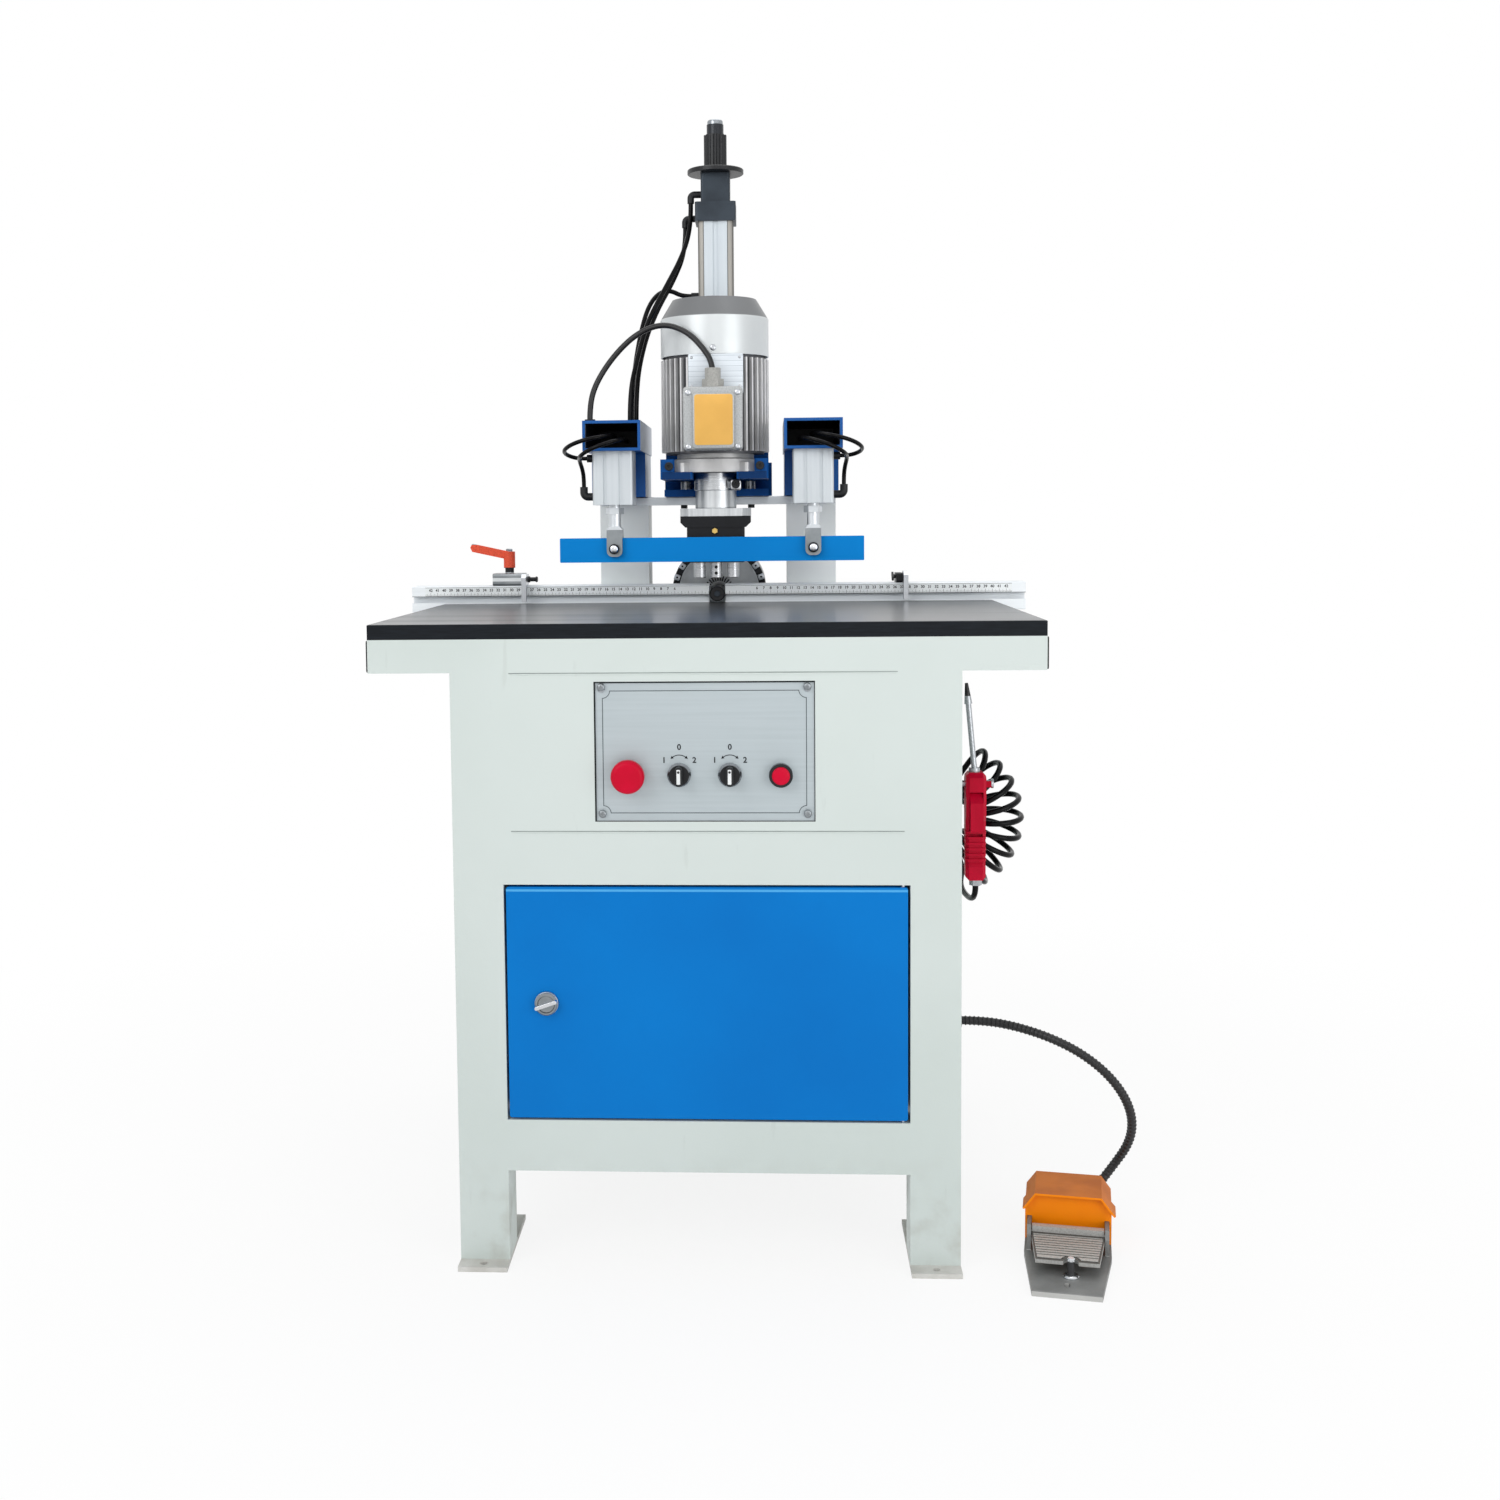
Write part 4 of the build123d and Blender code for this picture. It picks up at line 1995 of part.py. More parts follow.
print(f"coil: length {coil_length:.0f}, volume {coil_hose.part.volume / (coil_section * coil_length):.3f}")
samples = [coil_point(n * math.pi / 60)[0] for n in range(120 * coil_turns + 1)]
least = min((samples[n] - samples[m]).length for n in range(0, len(samples), 3)
            for m in range(n + 80, min(n + 170, len(samples))))
print("coil least gap between turns", round(least - coil_tube, 2))
coil_hose.part.label = "coil_hose"
export_step(coil_hose.part, "parts/coil_hose.step")

# Ribbed conduit from the cabinet to the pedal
conduit_lead = 43
conduit_end = pedal_entry + 14 * length_way + 14 * entry_way
conduit_points = [
    Vector(panel_x + gland_nut, gland_y, gland_z),
    Vector(panel_x + conduit_lead, gland_y, gland_z),
    Vector(386, -204, 256),
    Vector(428, -211, 244),
    Vector(466, -216, 226),
    Vector(499, -217, 200),
    Vector(523, -212, 168),
    Vector(535, -202, 134),
    Vector(533, -190, 100),
    conduit_end + 40 * entry_way,
    conduit_end,
]
conduit_runs = [b - a for a, b in zip(conduit_points, conduit_points[1:])]
conduit_radii = []
for before, after in zip(conduit_runs, conduit_runs[1:]):
    bend_angle = math.radians(before.get_angle(after))
    conduit_radii.append(0.45 * min(before.length, after.length) / math.tan(bend_angle / 2))
with BuildLine() as conduit_line:
    FilletPolyline(*conduit_points, radius=conduit_radii)
conduit_way = conduit_line.wires()[0]
least_bend = min(conduit_radii) / conduit_diameter
print(f"conduit: length {conduit_way.length:.0f}, least radius {least_bend:.1f} diameters")
steady = Vector(0.2, 1, 0.1)
cuff = conduit_diameter / conduit_way.length
rib_pitch = (1 - 2 * cuff) / conduit_ribs
groove = 0.9


def conduit_ring(share, radius):
    """Circle across the conduit at a share of its length."""
    way = conduit_way % share
    cross = (steady - way * steady.dot(way)).normalized()
    return Plane(origin=conduit_way @ share, x_dir=cross, z_dir=way), radius


rings = [conduit_ring(0, conduit_diameter / 2 - groove)]
for n in range(conduit_ribs):
    rib_start = cuff + n * rib_pitch
    rings.append(conduit_ring(rib_start + 0.06 * rib_pitch, conduit_diameter / 2 - groove))
    rings.append(conduit_ring(rib_start + 0.26 * rib_pitch, conduit_diameter / 2))
    rings.append(conduit_ring(rib_start + 0.62 * rib_pitch, conduit_diameter / 2))
    rings.append(conduit_ring(rib_start + 0.82 * rib_pitch, conduit_diameter / 2 - groove))
rings.append(conduit_ring(1, conduit_diameter / 2 - groove))
with BuildPart() as conduit:
    for plane, radius in rings:
        with BuildSketch(plane):
            Circle(radius)
    loft(ruled=True)
    with BuildLine():
        FilletPolyline(*conduit_points, radius=conduit_radii)
    with BuildSketch(Plane(origin=conduit_points[0], z_dir=conduit_runs[0])):
        Circle(conduit_bore / 2)
    sweep(mode=Mode.SUBTRACT)
conduit.part.label = "conduit"
export_step(conduit.part, "parts/conduit.step")
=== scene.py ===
# %% [markdown]
# A pneumatic wood drilling machine, dressed for its portrait.
# The solids come packed from the CAD model as a fixed frame, and this lesson gives them
# their finishes, their hoses and the small parts that a workshop photograph shows.
# Everything is in metres in the frame's own axes, so nothing has to be fitted afterwards.

# %% Load the frame
from math import cos, pi, radians, sin

import bmesh
import bpy
from mathutils import Matrix, Vector


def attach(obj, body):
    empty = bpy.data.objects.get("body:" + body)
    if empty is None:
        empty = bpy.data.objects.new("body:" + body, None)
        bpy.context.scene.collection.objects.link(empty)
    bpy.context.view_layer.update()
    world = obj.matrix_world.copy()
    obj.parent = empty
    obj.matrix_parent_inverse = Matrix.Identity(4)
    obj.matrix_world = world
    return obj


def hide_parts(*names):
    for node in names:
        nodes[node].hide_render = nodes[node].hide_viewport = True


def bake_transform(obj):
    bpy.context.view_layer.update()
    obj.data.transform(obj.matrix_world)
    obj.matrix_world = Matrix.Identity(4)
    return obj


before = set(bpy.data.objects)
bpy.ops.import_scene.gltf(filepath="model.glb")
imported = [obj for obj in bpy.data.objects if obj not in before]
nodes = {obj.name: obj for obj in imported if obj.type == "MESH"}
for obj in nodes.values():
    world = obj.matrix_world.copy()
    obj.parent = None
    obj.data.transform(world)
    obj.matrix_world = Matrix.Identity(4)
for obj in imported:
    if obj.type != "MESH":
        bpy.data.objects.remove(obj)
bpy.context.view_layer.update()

# Places that several cells share, in millimetres, and a quarter turn.
HEAD_X, HEAD_Y, SLIDE_Z = 2, 125, 792
LAMP_X, SELECTOR_X, SWITCH_Z = 90, 30, 600
PEDAL_PIN = (427.25, -379.4)
QUARTER = pi / 2

# %% [markdown]
# A finish is a small network of shader nodes, and wiring it by hand hides the idea behind it.
# So one class stands for a socket and answers to + - * / and the comparisons, one for a tree
# of nodes and one for a whole finish. A formula such as `1 - mask` then builds its own nodes.

# %% Shader sums written as Python


def tint(colour):
    """A colour as a screen shows it, 0 to 255, turned into the light values that shaders use."""
    shares = [level / 255 for level in colour]
    return (*[s / 12.92 if s < 0.04045 else ((s + 0.055) / 1.055) ** 2.4 for s in shares], 1)


def sums(operation, swapped=False):
    """A method of Signal that adds one Math node."""
    def method(self, *others):
        parts = (*others, self) if swapped else (self, *others)
        return self.network.node("Math", dict(enumerate(parts)), operation=operation)
    return method


class Signal:
    """One output socket of a network, ready for sums."""

    def __init__(self, network, socket):
        self.network = network
        self.socket = socket

    __add__ = __radd__ = sums("ADD")
    __sub__, __rsub__ = sums("SUBTRACT"), sums("SUBTRACT", swapped=True)
    __mul__ = __rmul__ = sums("MULTIPLY")
    __truediv__ = sums("DIVIDE")
    __gt__, __lt__, most = sums("GREATER_THAN"), sums("LESS_THAN"), sums("MAXIMUM")
    __abs__, fraction, root = sums("ABSOLUTE"), sums("FRACT"), sums("SQRT")

    def within(self, low, high):
        return (self > low) * (self < high)

    def between(self, low, high):
        """Rises smoothly from 0 at low to 1 at high."""
        return self.network.node("MapRange", {"Value": self, "From Min": low, "From Max": high},
                                 interpolation_type="SMOOTHSTEP")


class Network:
    """The node tree of a material or of the sky, with short words for wiring it."""

    def __init__(self, owner):
        owner.use_nodes = True
        self.tree = owner.node_tree

    def fill(self, socket, value):
        if isinstance(value, Signal):
            self.tree.links.new(value.socket, socket)
        else:
            on_screen = socket.type == "RGBA" and len(value) == 3
            socket.default_value = tint(value) if on_screen else value

    def node(self, kind, sockets=None, output=0, **settings):
        made = self.tree.nodes.new("ShaderNode" + kind)
        for key, value in settings.items():
            setattr(made, key, value)
        for key, value in (sockets or {}).items():
            self.fill(made.inputs[key], value)
        return Signal(self, made.outputs[output])


class Finish(Network):
    """A material with one Principled shader, and short words for the patterns that feed it."""

    def __init__(self, name, colour, roughness, metallic=0.0, shine=0.5):
        self.material = bpy.data.materials.new(name)
        super().__init__(self.material)
        self.shader = self.tree.nodes["Principled BSDF"]
        self.set("Base Color", colour)
        self.set("Roughness", roughness)
        self.set("Metallic", metallic)
        self.set("Specular IOR Level", shine)

    def set(self, socket, value):
        self.fill(self.shader.inputs[socket], value)

    def tone(self, share, first, second):
        """Paints the finish in a mixture of two shades."""
        self.set("Base Color", self.mix(share, first, second))

    def cover(self, mask, shade):
        """Lays a shade over the part of the finish that a mask picks out."""
        before = Signal(self, self.shader.inputs["Base Color"].links[0].from_socket)
        self.tone(mask, before, shade)

    def sheen(self, low, spread, scale, detail):
        """A roughness that a noise raises from its low value."""
        self.set("Roughness", low + spread * self.noise(scale, detail))

    def bump(self, height, depth, strength):
        sockets = {"Height": height, "Distance": depth, "Strength": strength}
        self.set("Normal", self.node("Bump", sockets))

    def peel(self, scale, detail, depth, strength):
        self.bump(self.noise(scale, detail), depth, strength)

    def spot(self):
        return self.node("TexCoord", output="Object")

    def axis(self, letter):
        return self.node("SeparateXYZ", {"Vector": self.spot()}, letter)

    x = property(lambda self: self.axis("X"))
    y = property(lambda self: self.axis("Y"))
    z = property(lambda self: self.axis("Z"))

    def reach(self, first, second, centre):
        """The distance from a line along the third axis, whose place is given in millimetres."""
        one, two = self.axis(first) - centre[0] / 1000, self.axis(second) - centre[1] / 1000
        return (one * one + two * two).root()

    def facing(self, letter):
        return self.node("SeparateXYZ", {"Vector": self.node("NewGeometry", output="Normal")}, letter)

    def noise(self, scale, detail=3.0, stretch=(1, 1, 1)):
        spread = self.node("Mapping", {"Vector": self.spot(), "Scale": stretch})
        return self.node("TexNoise", {"Vector": spread, "Scale": scale, "Detail": detail})

    def cells(self, scale):
        return self.node("TexVoronoi", {"Vector": self.spot(), "Scale": scale})

    def mix(self, share, first, second):
        return self.node("Mix", {0: share, 6: first, 7: second}, 2, data_type="RGBA")

    def on(self, *node_names):
        """Puts the finish on CAD nodes, whose shapes stay as they are."""
        for node_name in node_names:
            for slot in nodes[node_name].material_slots:
                slot.material = self.material
        print(self.material.name, "on", len(node_names), "nodes")
        return self


# %% [markdown]
# The body is welded tube and folded sheet, powder coated in a pale grey-green white. Powder
# melts into a skin with a faint orange peel, so the bump is a fine noise, the colour drifts
# from panel to panel, and the feet carry dust and scuffs from the workshop floor.

# %% Powder coat for the body
coat = Finish("body_powder_coat", (214, 223, 220), 0.4).on(
    "frame_tubes", "table_ring", "cabinet_panels")
drift = coat.noise(2.2, 4).between(0.35, 0.7)
coat.tone(drift, (206, 215, 212), (198, 208, 204))
dust = (1 - coat.z.between(0.01, 0.16)) * coat.noise(26, 6).between(0.42, 0.72)
coat.cover(dust * 0.5, (160, 158, 148))
scuffs = coat.noise(9, 8, (6, 6, 1)).between(0.66, 0.74)
coat.cover(scuffs * 0.12, (150, 155, 150))
coat.set("Roughness", 0.36 + 0.12 * coat.noise(14, 3) + 0.15 * dust)
coat.peel(420, 2, 0.0002, 0.35)

# The pillars take a brighter copy of the body's coat: painted light against the shade that the head and
# the bridge plate cast on them.
pillar = Finish("pillar_powder_coat", (246, 250, 249), 0.42).on("pillars")
cloud = pillar.noise(3, 5).between(0.35, 0.7)
pillar.tone(cloud, (250, 253, 252), (238, 244, 242))
pillar.sheen(0.38, 0.12, 14, 3)
pillar.peel(420, 2, 0.0002, 0.35)

# %% [markdown]
# The door and the press bar are the same powder in a strong blue, and the plates and the
# carriage of the feed carry the darker blue of the arms. One recipe with other colours gives
# all of them, with finer peel on the flat door than on the thick plates.

# %% Blue powder coats


def blue_powder(name, light, dark, peel):
    blue = Finish(name, light, 0.45, shine=0.1)
    cloud = blue.noise(3.5, 5).between(0.3, 0.75)
    rubbed = blue.noise(60, 7, (1, 1, 0.2)).between(0.7, 0.76)
    blue.tone(cloud, light, dark)
    blue.cover(rubbed * 0.25, (95, 165, 220))
    blue.sheen(0.4, 0.14, 22, 3)
    blue.peel(peel, 2, 0.0002, 0.3)
    return blue


door_blue = blue_powder("door_blue_powder", (0, 119, 200), (0, 110, 190), 460).on("door")
arm_blue = blue_powder("arm_blue_powder", (20, 92, 168), (14, 76, 146), 380).on(
    "guide_plates", "feed_carriage")
# A painted highlight runs along the door a little below its folded top edge.
fold_highlight = 1 - abs(door_blue.z - 0.461).between(0.0006, 0.002)
door_blue.cover(fold_highlight * 0.7, (96, 186, 236))
blue_powder("bar_blue_powder", (0, 142, 228), (0, 132, 216), 420).on("press_bar")
# The front face of the carriage's shelf is painted dark navy as the shade that falls on it.
shelf_front_shade = (arm_blue.y < 0.0616) * (arm_blue.z < 0.9675)
arm_blue.cover(shelf_front_shade * 0.75, (12, 44, 86))

# %% [markdown]
# The outer cheeks of the arms are bare galvanised sheet, while their edges and fronts are
# blue. The surface normal tells the two apart: faces that look left or right are cheeks.
# Inside, where no light reaches, the tubes are painted nearly black as shade.

# %% Arms with galvanised cheeks
arm = Finish("arm_sheet", (20, 92, 168), 0.4, shine=0.25).on("arm_brackets")
half_x = abs(arm.x)
cheek = abs(arm.facing("X")).between(0.7, 0.9) * (half_x - 0.1).between(-0.005, 0.0)
spangle = arm.cells(90).between(0.1, 0.8)
zinc_tone = arm.mix(spangle, (176, 185, 193), (188, 196, 203))
blue_tone = arm.mix(arm.noise(6, 4), (20, 96, 172), (14, 78, 150))
arm.tone(cheek, blue_tone, zinc_tone)
in_width = half_x.within(0.1024, 0.1776)
in_height = arm.z.within(0.9999, 1.0361)
inside = in_width * in_height * arm.y.between(0.036, 0.05)
arm.cover(inside, (28, 32, 39))
arm.set("Metallic", cheek * 0.6 * (1 - inside))
arm.sheen(0.34, 0.1, 30, 3)
arm.peel(380, 2, 0.0002, 0.3)

# %% [markdown]
# The table is a dense board with a charcoal laminate on top and a black edge band. A fine
# pebble keeps its reflections soft, and sliding boards leave light rubbed streaks. The top is
# told from the edge by its height, and only the top has the clear coat that mirrors the room.

# %% Table laminate
board = Finish("charcoal_laminate", (62, 66, 72), 0.3, shine=0.15).on("table_top")
board.set("Coat Roughness", 0.12)
top_face = (board.z - 0.7794).between(0.0, 0.0003)
rub = board.noise(5, 8, (0.35, 3, 1)).between(0.52, 0.74)
top_colour = board.mix(rub, (40, 44, 49), (56, 60, 64))
band = board.noise(40, 4, (1, 1, 12)).between(0.3, 0.7)
edge_colour = board.mix(band, (14, 18, 23), (22, 27, 33))
board.tone(top_face, edge_colour, top_colour)
board.set("Roughness", 0.5 - 0.2 * top_face + 0.08 * rub)
board.set("Coat Weight", top_face * (0.3 - 0.1 * rub))
board.peel(900, 2, 0.00008, 0.4)

# %% [markdown]
# Bare steel shows the path of the tool that cut it: turned rods carry rings and ground
# plates carry long scratches. Stretching the noise along one axis draws these, and the
# same signal drives the roughness so that the scratches also catch the light.

# %% Bare, plated and turned steel


def brushed(name, light, dark, grain, stretch, roughness, metallic=1.0):
    metal = Finish(name, light, roughness, metallic)
    scratch = metal.noise(grain, 6, stretch)
    stain = metal.noise(12, 4).between(0.45, 0.8)
    metal.tone(scratch * 0.8 + 0.2 * stain, light, dark)
    metal.set("Roughness", roughness - 0.09 + 0.22 * scratch)
    metal.bump(scratch, 0.00006, 0.5)
    return metal


turned_steel = brushed("turned_steel", (205, 207, 209), (150, 153, 157), 40, (1, 1, 26), 0.27).on(
    "guide_rods", "drive_spindle", "side_spindle_left", "side_spindle_right")
zinc_plate = brushed("zinc_plate", (206, 209, 214), (170, 174, 178), 70, (1, 1, 1), 0.3).on(
    "plated_hardware", "door_lock", "flip_stop_left", "flip_stop_right", "mounting_plate")
chrome = brushed("bright_plate", (226, 228, 231), (196, 199, 204), 90, (1, 1, 1), 0.16)
fork_steel = brushed("fork_steel", (160, 165, 168), (112, 118, 122), 70, (1, 1, 1), 0.3, 0.9).on(
    "rods_and_forks")
brushed("bezel_plate", (150, 155, 160), (104, 109, 114), 90, (1, 1, 1), 0.2).on("switch_bezels")
# The quill's long streaks are partly grinding grain and partly painted reflection, light and dark bands
# down its length.
brushed("quill_grain_and_reflection", (236, 239, 241), (96, 102, 106), 150, (1, 1, 0.012), 0.3, 0.9).on("quill")
rod_length = fork_steel.z.within(0.887, 1)
fork_steel.cover(rod_length, (206, 211, 215))

# %% [markdown]
# Extruded aluminium leaves the die with faint lines along its length and is then clear
# anodised, which looks whiter and softer than polished metal. The fence runs along X and
# the cylinders stand along Z, so there is one finish for each direction.

# %% Clear anodised extrusions
rail = brushed("anodised_fence", (240, 244, 247), (224, 230, 234), 260, (0.02, 1, 1), 0.42, 0.2).on(
    "fence_rails")
brushed("anodised_tube", (212, 218, 222), (192, 199, 204), 260, (1, 1, 0.02), 0.42, 0.5).on(
    "air_cylinders")
brushed("ground_plate", (206, 210, 213), (176, 181, 185), 50, (0.1, 1, 1), 0.38).on("bridge_plate")
in_slot = rail.y.within(0.1508, 0.189) * (rail.z < 0.8055) * (abs(rail.x) < 0.4475)
rail.cover(in_slot, (226, 231, 235))
rule_line = (abs(rail.z - 0.79) < 0.0013) * (rail.y < 0.156)
rail.cover(rule_line, (58, 62, 66))
barrel = brushed("barrel_extrusion", (210, 218, 224), (196, 204, 210), 260, (1, 1, 0.02), 0.46, 0.4).on(
    "feed_barrel")
off_middle = abs(barrel.x - HEAD_X / 1000)
front_face = abs(barrel.facing("Y")) > 0.5
barrel.cover(front_face * (off_middle > 0.0172), (164, 161, 155))
barrel.cover(front_face * (abs(off_middle - 0.0176) < 0.0005), (84, 86, 88))
barrel.cover(off_middle > 0.0243, (104, 102, 98))

# %% [markdown]
# The motors are cast aluminium under silver paint: slightly grainy, not quite a metal and
# not quite a plain grey. The fan cowl is pressed sheet, smoother, and its shoulder at the
# top is painted a darker grey as shade.

# %% Silver painted castings


def silver_casting(name, share=1.0):
    casting = Finish(name, (196, 198, 197), 0.42, 0.45)
    cast_tone = casting.noise(16, 6).between(0.35, 0.75)
    light, dark = [(share * level,) * 3 for level in (203, 178)]
    casting.tone(cast_tone, light, dark)
    casting.sheen(0.36, 0.16, 80, 4)
    casting.peel(700, 3, 0.0002, 0.4)
    return casting


# The finned housing takes a brighter copy of the casting paint as painted light, and the roots between
# its fins are painted dark as shade.
finned = silver_casting("finned_casting", 1.16).on("motor_housing")
fin_depth = finned.reach("X", "Y", (HEAD_X, HEAD_Y))
finned.cover(1 - fin_depth.between(0.0695, 0.0735), (76, 77, 82))
silver_casting("plain_casting", 1.04).on("motor_flange")

shield = silver_casting("shield_casting").on("slide_motor")
spread_out = shield.reach("X", "Z", (HEAD_X, SLIDE_Z))
at_front = shield.y < 0.29
# The front of the shield is painted lighter, as painted light against the shade that the press bar and
# the fence cast on it.
shield.cover(at_front, shield.mix(shield.noise(60, 5), (208, 211, 212), (176, 179, 180)))
shield.cover(at_front * (spread_out > 0.0605), (30, 32, 35))
shield.cover(at_front * (abs(spread_out - 0.0605) < 0.0007), (206, 210, 211))

cowl = Finish("cowl_sheet", (226, 229, 228), 0.34, 0.35).on("fan_cowl")
shaded_shoulder = (cowl.z - 1.1832).between(0.0, 0.0015)
cowl.tone(cowl.noise(10, 5), (218, 222, 223), (202, 207, 209))
cowl.cover(shaded_shoulder, (114, 116, 118))
cowl.sheen(0.3, 0.12, 40, 3)
cowl.peel(500, 2, 0.0001, 0.3)

# %% [markdown]
# Dark parts are hard anodised blocks with a dry grey sheen, moulded plastic with a fine grain
# and castings. Each has its own speckle and bump, because plain black would swallow every
# edge, and the same recipe gives the grey and red mouldings.

# %% Dark blocks and mouldings


def moulded(name, light, dark, roughness, metallic=0.0, grain=600, shine=0.4):
    plastic = Finish(name, light, roughness, metallic, shine)
    speck = plastic.noise(grain, 4)
    cloud = plastic.noise(24, 4).between(0.35, 0.7)
    plastic.tone(cloud * 0.7 + speck * 0.3, light, dark)
    plastic.set("Roughness", roughness - 0.06 + 0.14 * speck)
    plastic.bump(speck, 0.00012, 0.4)
    return plastic


hard_anodised = moulded("hard_anodised", (56, 65, 74), (42, 49, 57), 0.44, 0.5).on(
    "feed_caps", "valve_bank")
gear_black = moulded("gear_case_black", (22, 24, 29), (14, 16, 20), 0.4, shine=0.22).on("gear_head")
moulding = moulded("black_moulding", (30, 32, 35), (20, 21, 24), 0.42, shine=0.3).on(
    "hose_fittings", "glands_and_unions", "selector_vertical", "selector_horizontal", "stop_right")
moulded("grey_moulding", (188, 192, 190), (170, 174, 173), 0.46).on("electrics")
stop = moulded("stop_casting", (164, 169, 172), (118, 123, 127), 0.34, 0.75).on("stop_left")
# A painted highlight runs as a light band across the stop casting near its top.
stop_highlight = stop.z.within(0.8125, 0.8175)
stop.cover(stop_highlight, (222, 226, 228))
crimson = moulded("crimson_moulding", (202, 6, 50), (178, 3, 40), 0.34, shine=0.12).on(
    "gun_body", "gun_trigger")
stop_red = moulded("stop_red", (204, 2, 48), (190, 1, 40), 0.36, shine=0.14).on("estop_button")
pedal = moulded("pedal_base_casting", (142, 143, 142), (120, 121, 120), 0.5, 0.2, 420, 0.3).on(
    "pedal_base")
toe_edge = (pedal.facing("Y") < -0.7) * (pedal.z < 0.008)
pedal.cover(toe_edge * 0.7, (206, 206, 203))
pedal.cover(pedal.reach("X", "Y", PEDAL_PIN) < 0.0075, (62, 62, 64))
moulded("foot_paint", (214, 214, 210), (188, 186, 180), 0.5).on("foot_plates")
moulded("wheel_black", (24, 26, 30), (16, 18, 21), 0.38, 0.1).on("depth_wheel")
spindle_black = moulded("spindle_black", (30, 31, 34), (20, 21, 24), 0.36, 0.2).on("slide_spindle")

# %% [markdown]
# Some solids show several materials: the clamp lever has an orange handle on a black stem
# and a steel stud, and the air gun's pipe ends in a rubber tip. Height alone tells these
# apart, so one recipe takes a list of levels and changes colour at each.

# %% Finishes that change with height


def banded(name, colours, levels, roughness, shine, metals):
    """Colours from the lowest band to the highest, which change at levels given in metres."""
    layered = Finish(name, colours[0], roughness, shine=shine)
    height = layered.z
    speck = layered.noise(500, 4)
    colour, metal = colours[0], metals[0]
    for shade, level, share in zip(colours[1:], levels, metals[1:]):
        above = height > level
        colour = layered.mix(above, colour, shade)
        metal = above * (share - metal) + metal
    dark = layered.mix(0.25, colour, (0, 0, 0, 1))
    layered.tone(speck.between(0.35, 0.75), colour, dark)
    layered.set("Metallic", metal)
    layered.set("Roughness", roughness - 0.06 + 0.14 * speck)
    layered.bump(speck, 0.00012, 0.4)
    return layered


steel_tone, rubber_tone = (176, 180, 184), (24, 25, 28)
banded("clamp_lever", [steel_tone, rubber_tone, (244, 92, 62), steel_tone],
       [0.8255, 0.8325, 0.8665], 0.36, 0.25, [0.9, 0, 0, 0.9]).on("clamp_lever")
banded("gun_pipe", [steel_tone, rubber_tone], [0.6775], 0.28, 0.4, [0.95, 0]).on("gun_nozzle")
box_finish = banded("terminal_box", [(184, 187, 188), (172, 172, 168)], [1.0815], 0.42, 0.4, [0.3, 0]).on(
    "terminal_box")
banded("depth_stud", [(196, 199, 202), (40, 44, 50), (156, 161, 166)],
       [1.466, 1.4818], 0.28, 0.4, [1, 0.3, 1]).on("feed_rod")
banded("treadle_casting", [(176, 176, 173), (98, 95, 91), (192, 192, 189)],
       [0.0255, 0.0268], 0.46, 0.35, [0.2, 0, 0.25]).on("treadle")

# %% [markdown]
# The pedal's hood is sprayed orange. Its roof is painted a darker brown orange as shade,
# while the wall under it stays bright. The roof is found by its upward normal.

# %% Pedal hood
hood = Finish("hood_orange", (255, 140, 4), 0.4, shine=0.2).on("pedal_hood")
roof = hood.facing("Z").between(0.25, 0.7) * (hood.z > 0.03)
bright = hood.mix(hood.noise(30, 4), (255, 146, 10), (248, 132, 2))
roof_shade = hood.mix(hood.noise(18, 6).between(0.35, 0.7), (206, 118, 46), (182, 100, 40))
hood.tone(roof, bright, roof_shade)
hood.set("Roughness", 0.36 + 0.2 * roof + 0.1 * hood.noise(60, 4))
hood.peel(300, 3, 0.00015, 0.4)

# %% [markdown]
# The power lamp is a faceted red lens with a dark rim. The control plate is thin aluminium
# with a level brushing, and the rules on the fence are satin steel strips with a division at
# every millimetre, longer at five and ten, worked out from the X coordinate.

# %% Lamp, control plate and rules
lens = Finish("red_lens", (222, 4, 34), 0.3, shine=0.2).on("power_lamp")
rim = lens.reach("X", "Z", (LAMP_X, SWITCH_Z)) > 0.0096
facets = lens.cells(500)
lens.tone(facets.between(0.1, 0.6), (226, 6, 38), (200, 2, 28))
lens.cover(rim, (26, 22, 24))
lens.bump(facets, 0.0002, 0.3)

brushed("brushed_plate", (186, 196, 200), (170, 180, 184), 300, (0.02, 1, 1), 0.42, 0.35).on(
    "control_plate")

rule = Finish("rule_face", (232, 236, 236), 0.36, 0.2).on("fence_rules")
along = abs(rule.x)
height = rule.z - 0.791


def division(step, thickness, reach):
    nearest = abs((along / step + 0.5).fraction() - 0.5) * step
    return (nearest < thickness / 2) * (height < reach)


marks = division(0.001, 0.00022, 0.0028).most(division(0.005, 0.0003, 0.004))
marks = marks.most(division(0.01, 0.0004, 0.0052)).most(abs(height - 0.0065) > 0.0061)
rule.tone(rule.noise(200, 4, (0.02, 1, 1)), (240, 244, 245), (224, 229, 231))
rule.cover(marks, (46, 48, 52))
rule.set("Metallic", 0.2 - 0.2 * marks)

# %% [markdown]
# New pieces are modelled as by hand: add a primitive, pick faces or edges by their place,
# and run an edit-mode operator on them. These helpers keep the selection clean, because an
# operator acts on everything that is selected.

# %% Bench tools for modelling


def fresh():
    """Object mode with nothing selected, so that an operator acts only on what comes next."""
    if bpy.context.object and bpy.context.object.mode != "OBJECT":
        bpy.ops.object.mode_set(mode="OBJECT")
    bpy.ops.object.select_all(action="DESELECT")


def add(primitive, scale=(1, 1, 1), **words):
    """A new primitive with its place, turn and scale worked into its points."""
    fresh()
    primitive(**words)
    piece = bpy.context.object
    piece.scale = scale
    bpy.ops.object.transform_apply()
    return piece


def hold(piece):
    """Selects one piece and makes it the active one."""
    fresh()
    piece.select_set(True)
    bpy.context.view_layer.objects.active = piece


